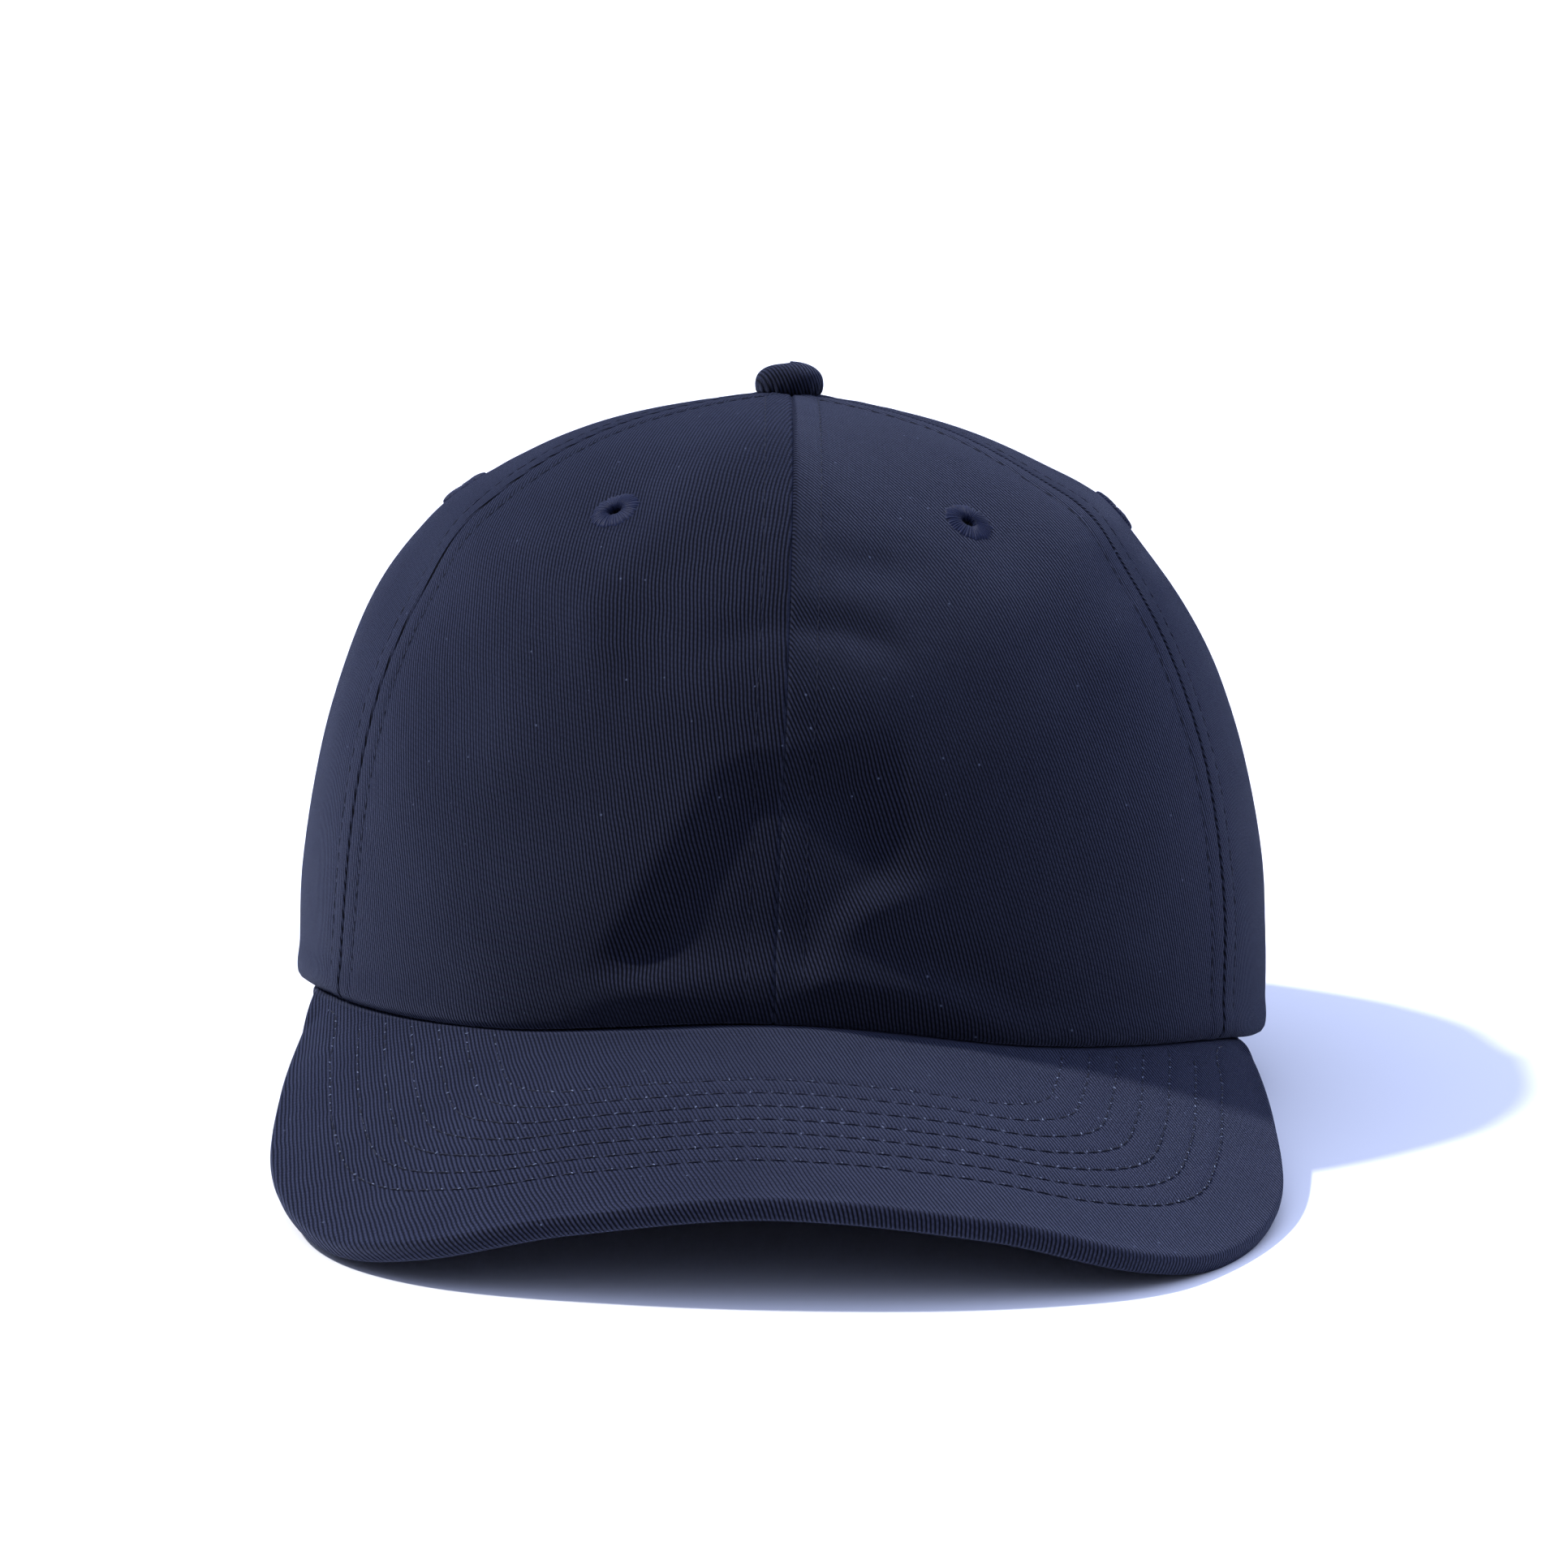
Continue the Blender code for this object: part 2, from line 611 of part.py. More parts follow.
def main():
    for old in list(bpy.data.objects):
        bpy.data.objects.remove(old)

    names = ("front_right", "side_right", "rear_right", "rear_left", "side_left", "front_left")
    for k, side in enumerate(names):
        panel = crown_panel("panel_" + side, k * PANEL_ANGLE)
        if side.startswith("rear"):
            combine(panel, arch_prism("arch_" + side, 0.0), "DIFFERENCE")
        eyelet("eyelet_" + side, (k + 0.5) * PANEL_ANGLE)

    for side, angle in (("front_right", 60), ("rear_right", 120), ("rear_left", 240), ("front_left", 300)):
        side_tape("seam_tape_" + side, angle)
    centre_tape("seam_tape_centre")
    arch_tape("arch_tape")
    sweatband("sweatband")
    care_label("care_label")

    visor()
    button()

    strap_ends = (STRAP_SEWN_ANGLE, STRAP_TAIL_ANGLE)
    band_round_axis("strap", strap_ends, STRAP_RADIUS, STRAP_LOW, STRAP_HIGH, STRAP_THICKNESS, twill(), 30)
    mount = bpy.data.objects.new("buckle_mount", None)
    bpy.context.scene.collection.objects.link(mount)
    mount.rotation_euler.z = math.radians(BUCKLE_ANGLE)
    buckle(mount)
    buckle_tab(mount)


main()
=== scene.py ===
"""A six-panel baseball cap in washed navy twill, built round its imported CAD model."""

import math

import bmesh
import bpy
import numpy as np
from mathutils import Matrix, Vector


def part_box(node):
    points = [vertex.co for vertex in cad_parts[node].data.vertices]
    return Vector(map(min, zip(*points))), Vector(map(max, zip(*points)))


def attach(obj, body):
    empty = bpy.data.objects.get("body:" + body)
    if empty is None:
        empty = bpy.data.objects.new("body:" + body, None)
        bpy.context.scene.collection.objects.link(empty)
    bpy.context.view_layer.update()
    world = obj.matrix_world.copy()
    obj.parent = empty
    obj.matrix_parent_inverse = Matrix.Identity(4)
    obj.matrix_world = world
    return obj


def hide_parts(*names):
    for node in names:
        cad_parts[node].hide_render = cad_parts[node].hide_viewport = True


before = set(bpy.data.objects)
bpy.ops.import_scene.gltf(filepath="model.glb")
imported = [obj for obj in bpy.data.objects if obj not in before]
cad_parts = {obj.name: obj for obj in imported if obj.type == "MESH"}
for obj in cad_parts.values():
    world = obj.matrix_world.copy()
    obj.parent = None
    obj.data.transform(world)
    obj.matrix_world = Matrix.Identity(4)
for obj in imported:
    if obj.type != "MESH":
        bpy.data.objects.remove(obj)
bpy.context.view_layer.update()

MM = 0.001

# ---------------------------------------------------------------- shape of the cap
# The crown and visor follow the CAD model's surfaces, with their sizes read from its nodes.
HALF_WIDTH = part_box("panel_side_right")[1].x
FRONT_LENGTH = -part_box("panel_front_right")[0].y
CROWN_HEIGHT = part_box("button_cover")[0].z - 0.3 * MM
SHOULDER_POWER = 2.48  # 2 makes the crown's outline an ellipse, and more makes its shoulders squarer
TOP_SLOPE = 0.021
SEAMS = (0, 60, 120, 180, 240, 300)  # degrees from the front, positive towards the wearer's left
# Height of the crown's lower edge in mm, at angles from the front.
RIM_LINE = ((0, 10.0), (30, 6.3), (60, 5.2), (75, 3.1), (92, 0.8), (115, 0.0), (180, 0.0))
# What is added to it at signed angles, because the cap is worn a little askew.
RIM_LEAN = (
    (-130, 0.0), (-100, 3.0), (-85, 3.4), (-75, 2.8), (-63, 1.0), (-55, 0.1), (-40, -0.4), (0, -0.2),
    (26, -0.3), (36, -0.6), (48, -1.1), (67, -1.5), (80, -1.0), (95, -0.4), (130, 0.0),
)
# The visor's outer edge: angle, radius and height at the wearer's right, then at the wearer's left.
VISOR_EDGE = (
    (0, 162.1, -11.3, 162.1, -11.3),
    (12.5, 162.3, -15.5, 161.8, -14.4),
    (22, 161.0, -22.0, 160.5, -20.2),
    (29, 154.0, -24.2, 153.6, -21.8),
    (38, 138.6, -19.7, 139.0, -17.9),
    (50, 114.2, -9.2, 115.2, -8.4),
    (62, 96.6, -0.9, 98.5, -1.2),
    (74, 88.0, 2.6, 89.0, 2.2),
)
VISOR_TIP = 74.0  # the angle at which the visor ends
# The outermost sewn row on the visor: angle and radius.
SEWN_ROW = (
    (0, 146.8), (12, 146.5), (19, 146.0), (24, 143.5), (28, 140.1),
    (32.5, 134.4), (38, 123.4), (47.6, 106.3), (60, 93.0),
)
PANEL = 1.2 * MM  # the crown's cloth
ARCH_HALF_WIDTH = 45 * MM
ARCH_HEIGHT = 48 * MM
EYELET_RISE = 0.586  # from 0 at the lower edge to 1 at the top


def smooth_line(table, at):
    """Values on a smooth line through (place, value, ...) rows, flat at its two ends."""
    table = np.array(table, float)
    places, values = table[:, 0], table[:, 1:]
    at = np.clip(at, places[0], places[-1])
    i = np.clip(np.searchsorted(places, at, side="right") - 1, 0, len(places) - 2)
    slopes = np.zeros_like(values)
    slopes[1:-1] = (values[2:] - values[:-2]) / (places[2:] - places[:-2])[:, None]
    span = (places[i + 1] - places[i])[..., None]
    t = (at - places[i])[..., None] / span
    a, b = values[i], values[i + 1]
    da, db = slopes[i] * span, slopes[i + 1] * span
    return a + t * da + t * t * (3 * (b - a) - 2 * da - db) + t**3 * (2 * (a - b) + da + db)


def step(low, high, x):
    """0 below low, 1 above high, smooth between."""
    t = np.clip((x - low) / (high - low), 0, 1)
    return t * t * (3 - 2 * t)


def hump(x, centre, width):
    return np.exp(-(((x - centre) / width) ** 2))


def unit(v):
    return v / np.maximum(np.linalg.norm(v, axis=-1, keepdims=True), 1e-12)


def direction(angle):
    a = np.radians(angle)
    return np.stack([np.sin(a), -np.cos(a), np.zeros_like(a)], -1)


def signed_angle(angle):
    """The angle from the front, -180 to 180. It is positive on the wearer's left."""
    return (np.asarray(angle, float) + 180) % 360 - 180


def from_front(angle):
    return np.abs(signed_angle(angle))


def base_radius(angle):
    length = np.where(from_front(angle) < 90, FRONT_LENGTH, HALF_WIDTH)
    d = direction(np.asarray(angle, float))
    return 1 / np.hypot(d[..., 0] / HALF_WIDTH, d[..., 1] / length)


def rim_height(angle):
    """Height of the crown's lower edge. It rides up at the wearer's right and down at the left."""
    signed = signed_angle(angle)
    return (smooth_line(RIM_LINE, np.abs(signed))[..., 0] + smooth_line(RIM_LEAN, signed)[..., 0]) * MM


def sway(angle, height):
    """Sideways lean of the soft crown (metres)."""
    signed = signed_angle(angle)
    front = np.where(np.abs(signed) < 90, np.cos(np.radians(signed)), 0) ** 2
    side = np.sin(np.radians(signed)) ** 2 * step(103, 88, np.abs(signed))
    low = step(100, 20, height / MM)
    return (low * (1.6 * side - 1.3 * front) - 0.5 * (1 - low)) * MM


def dome(angle, rise):
    """The smooth dome: rise goes from 0 at the rim to 1 at the top."""
    angle, rise = np.broadcast_arrays(np.asarray(angle, float), np.asarray(rise, float))
    power = 2 / SHOULDER_POWER
    across = np.clip(np.cos(rise * np.pi / 2), 0, 1) ** power
    up = np.clip(np.sin(rise * np.pi / 2), 0, 1) ** power
    up = up - TOP_SLOPE * 4 * across * (1 - across) * up**3
    rim = rim_height(angle)
    spot = direction(angle) * (base_radius(angle) * across)[..., None]
    spot[..., 2] = rim + (CROWN_HEIGHT - rim) * up
    spot[..., 0] += sway(angle, spot[..., 2])
    return spot


def dome_normal(angle, rise):
    rise = np.clip(rise, 0.002, 0.985)
    along = dome(angle + 0.5, rise) - dome(angle - 0.5, rise)
    up = dome(angle, rise + 0.005) - dome(angle, rise - 0.002)
    return unit(np.cross(along, up))


def soft_noise(x, y, seed, octaves=3):
    """A smooth, repeatable wavy field of about -1..1 made of a few sines."""
    rng = np.random.default_rng(seed)
    total = np.zeros(np.broadcast(x, y).shape)
    weight = 0
    for k in range(octaves):
        for _ in range(4):
            turn = rng.uniform(0, 2 * np.pi)
            shift = rng.uniform(0, 2 * np.pi)
            total = total + np.sin((x * np.cos(turn) + y * np.sin(turn)) * 1.9**k + shift) / 1.7**k
        weight += 2.2 / 1.7**k
    return total / weight


def stroke(x, z, points, fade):
    """A drawn line: each place's distance to its right, and a weight that fades at the line's ends."""
    best, side, run = np.full(x.shape, np.inf), np.zeros(x.shape), np.zeros(x.shape)
    length = 0.0
    for n, (start, end) in enumerate(zip(points, points[1:])):
        dx, dz = end[0] - start[0], end[1] - start[1]
        size = math.hypot(dx, dz)
        t = ((x - start[0]) * dx + (z - start[1]) * dz) / size**2
        low = -9.0 if n == 0 else 0.0
        high = 9.0 if n == len(points) - 2 else 1.0
        held = np.clip(t, low, high)
        gap = np.hypot(x - start[0] - held * dx, z - start[1] - held * dz)
        right = ((x - start[0]) * dz - (z - start[1]) * dx) / size
        near = gap < best
        best = np.where(near, gap, best)
        side = np.where(near, np.where(right < 0, -gap, gap), side)
        run = np.where(near, length + held * size, run)
        length += size
    return side, step(-fade / 2, fade / 2, run) * step(length + fade / 2, length - fade / 2, run)


def fold(x, z, points, height, width, fade=8.0):
    """A rounded ridge along a line, or a groove where the height is negative."""
    side, weight = stroke(x, z, points, fade)
    return height * np.exp(-((side / width) ** 2)) * weight


def pat(x, z, place, height, reach):
    """A soft dome or dimple."""
    return height * np.exp(-(((x - place[0]) / reach[0]) ** 2) - ((z - place[1]) / reach[1]) ** 2)


# The tent-shaped hollow in the front: the edge it falls in from, and the crease where it comes out again.
TENT_EDGE = ((-34, 17), (-24, 35), (-12.5, 54), (-7, 56.5), (5, 57.5), (15, 60))
TENT_FOOT = ((2, 19), (7, 28.5), (11, 34), (16.5, 36.5), (25, 38.5), (33, 43))
ROLL = ((-32, 13), (-24, 15.5), (-10, 18.3), (0, 18.8), (12, 17.2), (24, 14.2), (37, 10.0))


def front_folds(x, z, rim):
    side, weight = stroke(x, z, TENT_EDGE, 12)
    foot, _ = stroke(x, z, TENT_FOOT, 1)
    fall = step(-1.0, 8.5, side) * np.exp(-np.clip(side - 8.5, 0, None) / 60)
    out = -4.6 * fall * weight * step(6.5, 0, foot) * step(12.5, 21, z)
    out = out + pat(x, z, (15, 43), -1.9, (10, 6.5))
    out = out + fold(x, z, ((6, 24), (13, 29), (25, 34)), 1.0, 3.2)
    out = out + fold(x, z, ROLL, 1.3, 3.6, 24) + fold(x, z - 7.0, ROLL, -0.5, 4.0, 24)
    out = out - 2.0 * step(8.5, 0.5, z - rim) * step(48, 26, np.abs(x + 4))
    out = out + fold(x, z, ((-13, 75.5), (-3, 78.0), (9, 77.5), (17, 75.0)), -1.0, 3.2, 12)
    out = out + pat(x, z, (0, 66), 1.1, (16, 6.5))
    out = out + fold(x, z, ((52, 88), (34, 78), (20, 69), (7, 62)), 0.5, 7.5, 14)
    return out


def shoulder_folds(x, z):
    out = fold(x, z, ((-2, 112), (-16, 103), (-27, 89), (-36, 73)), 0.8, 6.5, 14)
    out = out + fold(x, z, ((-62, 87), (-46, 87), (-36, 80), (-31, 68)), 1.0, 7.0, 14)
    out = out + pat(x, z, (-33, 97), -0.9, (12, 8)) + pat(x, z, (30, 96), -0.6, (12, 7))
    out = out + pat(x, z, (14, 88), -0.9, (10, 4))
    out = out + pat(x, z, (55, 97), 1.6, (10, 8))
    return out


settled = None  # the cloth simulation's offsets, once it has run


def settled_slack(angle, height):
    """The settled sheet's offset from the shaped crown, in millimetres."""
    if settled is None:
        return 0.0
    share = (height - rim_height(angle)) / (CROWN_HEIGHT - rim_height(angle))
    rows, cols = settled.shape[0], settled.shape[1] - 1
    i = np.clip(share / SHEET_SHARES[-1], 0, 1) * (rows - 1)
    j = (np.asarray(angle, float) % 360) / 360 * cols
    i, j = np.broadcast_arrays(i, j)
    a, b = np.clip(i.astype(int), 0, rows - 2), np.clip(j.astype(int), 0, cols - 1)
    s, t = i - a, j - b
    s, t = s * s * (3 - 2 * s), t * t * (3 - 2 * t)
    low = settled[a, b] * (1 - t) + settled[a, b + 1] * t
    high = settled[a + 1, b] * (1 - t) + settled[a + 1, b + 1] * t
    return low * (1 - s) + high * s


def swell(angle, spot):
    """How far the cloth stands out from the smooth dome (metres): dents, folds and slack of a soft crown."""
    x, z = spot[..., 0] / MM, spot[..., 2] / MM
    signed = signed_angle(angle)
    turn = np.abs(signed)
    out = front_folds(x, z, rim_height(angle) / MM) * step(75, 55, turn)
    out = out + shoulder_folds(x, z) * step(105, 80, turn)

    # The front and back panels are a little flatter than the dome between their seams.
    share = np.clip((spot[..., 2] - 0.02) / (CROWN_HEIGHT - 0.02), 0, 1)
    flat = 1.5 * np.sin(share**0.85 * np.pi) ** 1.2 * (1 - np.exp(-(((turn - 90) / 24) ** 2)))
    out = out - flat * (1 - np.cos(np.radians(6 * signed))) / 2

    # Broad, quiet slack all round. The strap's pocket at the lower back stays clear.
    a = np.radians(signed)
    slack = soft_noise(a * 5.0, z * 0.06, 11)
    calm = step(CROWN_HEIGHT / MM, 90, z) * np.where(turn > 100, step(28, 50, z), step(5, 40, z))
    out = out + 0.7 * slack * calm + settled_slack(angle, spot[..., 2]) * calm
    return out * MM


def crown(angle, rise, depth=0.0):
    """Points at a depth below the cloth's outer face."""
    angle, rise = np.broadcast_arrays(np.asarray(angle, float), np.asarray(rise, float))
    spot = dome(angle, rise)
    return spot + dome_normal(angle, rise) * (swell(angle, spot) - depth)[..., None]


def arc_lengths(points, axis=0):
    """Running length along an axis of a grid of points."""
    steps = np.linalg.norm(np.diff(points, axis=axis), axis=-1)
    zero = np.zeros_like(np.take(steps, [0], axis))
    return np.concatenate([zero, np.cumsum(steps, axis)], axis)


def even_rises(angle, first, last, count):
    """Rises from first to last, evenly spaced by length along the dome at this angle."""
    rises = np.linspace(first, last, 600)
    run = arc_lengths(dome(np.full(600, float(angle)), rises))
    return np.interp(np.linspace(0, run[-1], count), run, rises)


def radius_at_rise(angle, rise):
    """The plain dome's radius: what rise_at_radius turns back."""
    return base_radius(angle) * np.cos(rise * np.pi / 2) ** (2 / SHOULDER_POWER)


def rise_at_radius(angle, radius):
    share = np.clip(radius / base_radius(angle), 0, 1)
    return np.arccos(share ** (SHOULDER_POWER / 2)) / (np.pi / 2)


def rise_at_height(angle, height):
    """Rises where the dome reaches these heights, by halving."""
    angle, height = np.broadcast_arrays(np.asarray(angle, float), np.asarray(height, float))
    low, high = np.zeros(angle.shape), np.ones(angle.shape)
    for _ in range(26):
        middle = (low + high) / 2
        below = dome(angle, middle)[..., 2] < height
        low, high = np.where(below, middle, low), np.where(below, high, middle)
    return low


def seam_rises(angle, foot, top_radius, count):
    """Even rises up a seam, from a height to the place where the dome has a radius."""
    first = rise_at_height(float(angle), foot)
    return even_rises(angle, float(first), float(rise_at_radius(angle, top_radius)), count)


def place_in_scene(name, data):
    obj = bpy.data.objects.new(name, data)
    bpy.context.scene.collection.objects.link(obj)
    return obj


# ---------------------------------------------------------------- cloth simulation

# The sheet's rows, as shares of the crown's height, its columns, and how many frames it settles for.
SHEET_SHARES = np.linspace(0, 0.985, 34)
SHEET_COLS = 120
SHEET_FRAMES = 45


def settle_crown():
    """Lets a sheet of the crown sag under its own weight, held at the rim, the button and the seams."""
    angles = np.arange(SHEET_COLS) * 360 / SHEET_COLS
    heights = rim_height(angles)[None] + (CROWN_HEIGHT - rim_height(angles))[None] * SHEET_SHARES[:, None]
    rises = rise_at_height(angles[None] + 0 * heights, heights)
    start = crown(angles[None], rises, PANEL / 2)
    out = dome_normal(angles[None] + 0 * rises, rises)
    rows = len(SHEET_SHARES)
    faces = []
    for r in range(rows - 1):
        for c in range(SHEET_COLS):
            low, next_low = r * SHEET_COLS + c, r * SHEET_COLS + (c + 1) % SHEET_COLS
            faces.append((low, next_low, next_low + SHEET_COLS, low + SHEET_COLS))
    mesh = bpy.data.meshes.new("sheet")
    mesh.from_pydata(start.reshape(-1, 3).tolist(), [], faces)
    sheet = place_in_scene("sheet", mesh)
    held = sheet.vertex_groups.new(name="held")
    for r in range(rows):
        for c in range(SHEET_COLS):
            seam = c % (SHEET_COLS // 6) == 0
            weight = 1.0 if r in (0, 1, rows - 1) else 0.85 if seam else 0.0
            if weight:
                held.add([r * SHEET_COLS + c], weight, "REPLACE")
    cloth = sheet.modifiers.new("cloth", "CLOTH")
    settings = cloth.settings
    settings.quality = 8
    settings.mass = 0.0006
    settings.tension_stiffness = settings.compression_stiffness = 12
    settings.shear_stiffness = 6
    settings.bending_stiffness = 1.2
    settings.vertex_group_mass = "held"
    settings.shrink_min = -0.014
    cloth.collision_settings.use_collision = False
    scene = bpy.context.scene
    cloth.point_cache.frame_start, cloth.point_cache.frame_end = 1, SHEET_FRAMES
    for number in range(1, SHEET_FRAMES + 1):
        scene.frame_set(number)
    solved = sheet.evaluated_get(bpy.context.evaluated_depsgraph_get()).to_mesh()
    end = np.empty(len(mesh.vertices) * 3, np.float32)
    solved.vertices.foreach_get("co", end)
    end = end.reshape(start.shape).astype(float)
    bpy.data.objects.remove(sheet)
    scene.frame_set(1)
    offset = ((end - start) * out).sum(-1) / MM
    for _ in range(3):
        offset = offset * 0.5 + (np.roll(offset, 1, 1) + np.roll(offset, -1, 1)) * 0.25
        offset[1:-1] = offset[1:-1] * 0.5 + (offset[:-2] + offset[2:]) * 0.25
    # Only what differs from panel to panel is kept: the pattern pieces already hold the common roundness.
    panels = offset.reshape(rows, 6, -1)
    offset = (panels - 0.85 * panels.mean(1, keepdims=True)).reshape(offset.shape)
    offset = 1.5 * np.tanh(offset / 1.2)
    # The front keeps the shape its own folds give it.
    offset = offset * (0.3 + 0.7 * step(55, 85, from_front(angles)))[None]
    return np.concatenate([offset, offset[:, :1]], 1)


settled = settle_crown()


# ---------------------------------------------------------------- mesh building


def make_object(name, verts, faces, look, uv=None, body="cap", replaced=(), slot="cotton_twill"):
    """A visible piece: its mesh, material, body and the CAD nodes it stands for. The slot argument is not
    used.
    """
    mesh = bpy.data.meshes.new(name)
    verts = np.asarray(verts, float)
    mesh.from_pydata(verts.tolist(), [], [tuple(int(i) for i in f) for f in faces])
    mesh.update()
    if uv is not None:
        layer = mesh.uv_layers.new(name="weave")
        index = np.empty(len(mesh.loops), np.int32)
        mesh.loops.foreach_get("vertex_index", index)
        layer.data.foreach_set("uv", np.asarray(uv, np.float32)[index].ravel())
    mesh.shade_smooth()
    obj = place_in_scene(name, mesh)
    mesh.materials.append(look)
    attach(obj, body)
    if replaced:
        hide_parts(*replaced)
    return obj


def ring_faces(count, rings):
    """Faces round a closed turn of count profiles with rings points each."""
    i, r = np.meshgrid(np.arange(count), np.arange(rings - 1), indexing="ij")
    here, after = (i * rings + r).ravel(), ((i + 1) % count * rings + r).ravel()
    return np.stack([here, after, after + 1, here + 1], -1)


def grid_faces(rows, cols, start=0, flip=False):
    i, j = np.meshgrid(np.arange(rows - 1), np.arange(cols - 1), indexing="ij")
    a = (start + i * cols + j).ravel()
    quads = np.stack([a, a + 1, a + cols + 1, a + cols], -1)
    return quads[:, ::-1] if flip else quads


def border(rows, cols):
    """Indices round a grid's edge, in the order of its outward faces."""
    low = np.arange(cols)
    right = np.arange(1, rows) * cols + cols - 1
    top = (rows - 1) * cols + np.arange(cols - 2, -1, -1)
    left = np.arange(rows - 2, 0, -1) * cols
    return np.concatenate([low, right, top, left])


EDGE_ROUNDING = 0.35  # how far a cloth edge bulges, as a share of its thickness


def shell(name, outer, inner, look, uv, **placing):
    """A closed cloth layer from its outer and inner grids, with rounded edges."""
    rows, cols = outer.shape[:2]
    count = rows * cols
    ring = border(rows, cols)
    flat_outer, flat_inner = outer.reshape(-1, 3), inner.reshape(-1, 3)
    neighbour = np.clip(ring // cols, 1, rows - 2) * cols + np.clip(ring % cols, 1, cols - 2)
    thickness = np.linalg.norm(flat_outer[ring] - flat_inner[ring], axis=-1, keepdims=True)
    outward = unit(flat_outer[ring] + flat_inner[ring] - flat_outer[neighbour] - flat_inner[neighbour])
    middle = (flat_outer[ring] + flat_inner[ring]) / 2 + outward * thickness * EDGE_ROUNDING
    verts = np.concatenate([flat_outer, flat_inner, middle])
    faces = [grid_faces(rows, cols), grid_faces(rows, cols, count, flip=True)]
    after = np.roll(np.arange(len(ring)), -1)
    mid = 2 * count + np.arange(len(ring))
    faces.append(np.stack([ring[after], ring, mid, mid[after]], -1))
    faces.append(np.stack([mid[after], mid, ring + count, ring[after] + count], -1))
    flat_uv = uv.reshape(-1, 2)
    uv = np.concatenate([flat_uv, flat_uv, flat_uv[ring]])
    return make_object(name, verts, np.concatenate(faces), look, uv, **placing)


def tubes(centres, normals, radii, sides=6):
    """Vertices and faces of one closed tube along each of n lines. Centres and normals are (n, rings, 3)."""
    tangents = unit(np.gradient(centres, axis=1))
    across = unit(np.cross(tangents, normals))
    up = unit(np.cross(across, tangents))
    turn = (np.arange(sides) * 2 * np.pi / sides)[:, None]
    ring = across[:, :, None] * np.cos(turn) + up[:, :, None] * np.sin(turn)
    verts = centres[:, :, None] + ring * radii[..., None, None]
    n, rings = centres.shape[:2]
    verts = verts.reshape(n, rings * sides, 3)
    ends = np.stack([centres[:, 0], centres[:, -1]], 1)
    verts = np.concatenate([verts, ends], 1)
    faces3, faces4 = [], []
    for r in range(rings - 1):
        for s in range(sides):
            t = (s + 1) % sides
            faces4.append((r * sides + s, r * sides + t, (r + 1) * sides + t, (r + 1) * sides + s))
    tip = rings * sides
    for s in range(sides):
        t = (s + 1) % sides
        faces3.append((t, s, tip))
        faces3.append(((rings - 1) * sides + s, (rings - 1) * sides + t, tip + 1))
    size = rings * sides + 2
    first = np.arange(n)[:, None, None] * size
    quads = (np.array(faces4)[None] + first).reshape(-1, 4)
    tris = (np.array(faces3)[None] + first).reshape(-1, 3)
    return verts.reshape(-1, 3), list(quads) + list(tris)


# Each kind of stitch: its length, the gap to the next and the thread's radius, in mm.
CROWN_STITCH = (2.25, 0.45, 0.09)
VISOR_STITCH = (3.0, 0.45, 0.15)
TAPE_STITCH = (2.25, 0.45, 0.14)
BAND_STITCH = (2.4, 0.5, 0.15)
LABEL_STITCH = (2.2, 0.6, 0.14)
STRAP_STITCH = (2.3, 0.5, 0.14)
TAB_STITCH = (2.0, 0.5, 0.14)
STITCH_SINK = 0.55  # how deep a stitch's ends dip into the cloth, as a share of the thread's radius


def along_line(points, run, at):
    """Values at a running length along a line."""
    return np.stack([np.interp(at, run, points[:, c]) for c in range(3)], -1)


def stitches(name, lines, kind, seed, **placing):
    """Sewing stitches along lines. Each line is (points, outward normals) lying on the cloth."""
    length, gap, radius = (size * MM for size in kind)
    rng = np.random.default_rng(seed)
    paths, normals, radii = [], [], []
    shares = np.array([0.0, 0.08, 0.25, 0.5, 0.75, 0.92, 1.0])
    arch = np.sin(shares * np.pi) ** 0.6
    for points, outward in lines:
        run = arc_lengths(points)
        count = int((run[-1] - gap) / (length + gap))
        if count < 1:
            continue
        pitch = run[-1] / count
        share = length / (length + gap)
        for k in range(count):
            start = k * pitch + rng.uniform(-0.04, 0.04) * pitch
            at = np.clip(start + shares * pitch * share + pitch * (1 - share) / 2, 0, run[-1])
            spot = along_line(points, run, at)
            normal = unit(along_line(outward, run, at))
            lean = np.cross(normal[3], spot[-1] - spot[0])
            lean = lean / max(np.linalg.norm(lean), 1e-9) * rng.normal(0, 0.05) * MM
            height = radius * (arch * (1 + STITCH_SINK) - STITCH_SINK * 1.6)
            paths.append(spot + normal * height[:, None] + lean * (shares - 0.5)[:, None] * 2)
            normals.append(normal)
            radii.append(radius * (0.45 + 0.55 * np.sin(shares * np.pi) ** 0.5))
    verts, faces = tubes(np.array(paths), np.array(normals), np.array(radii))
    return make_object(name, verts, faces, seam_thread, **placing)


# ---------------------------------------------------------------- materials


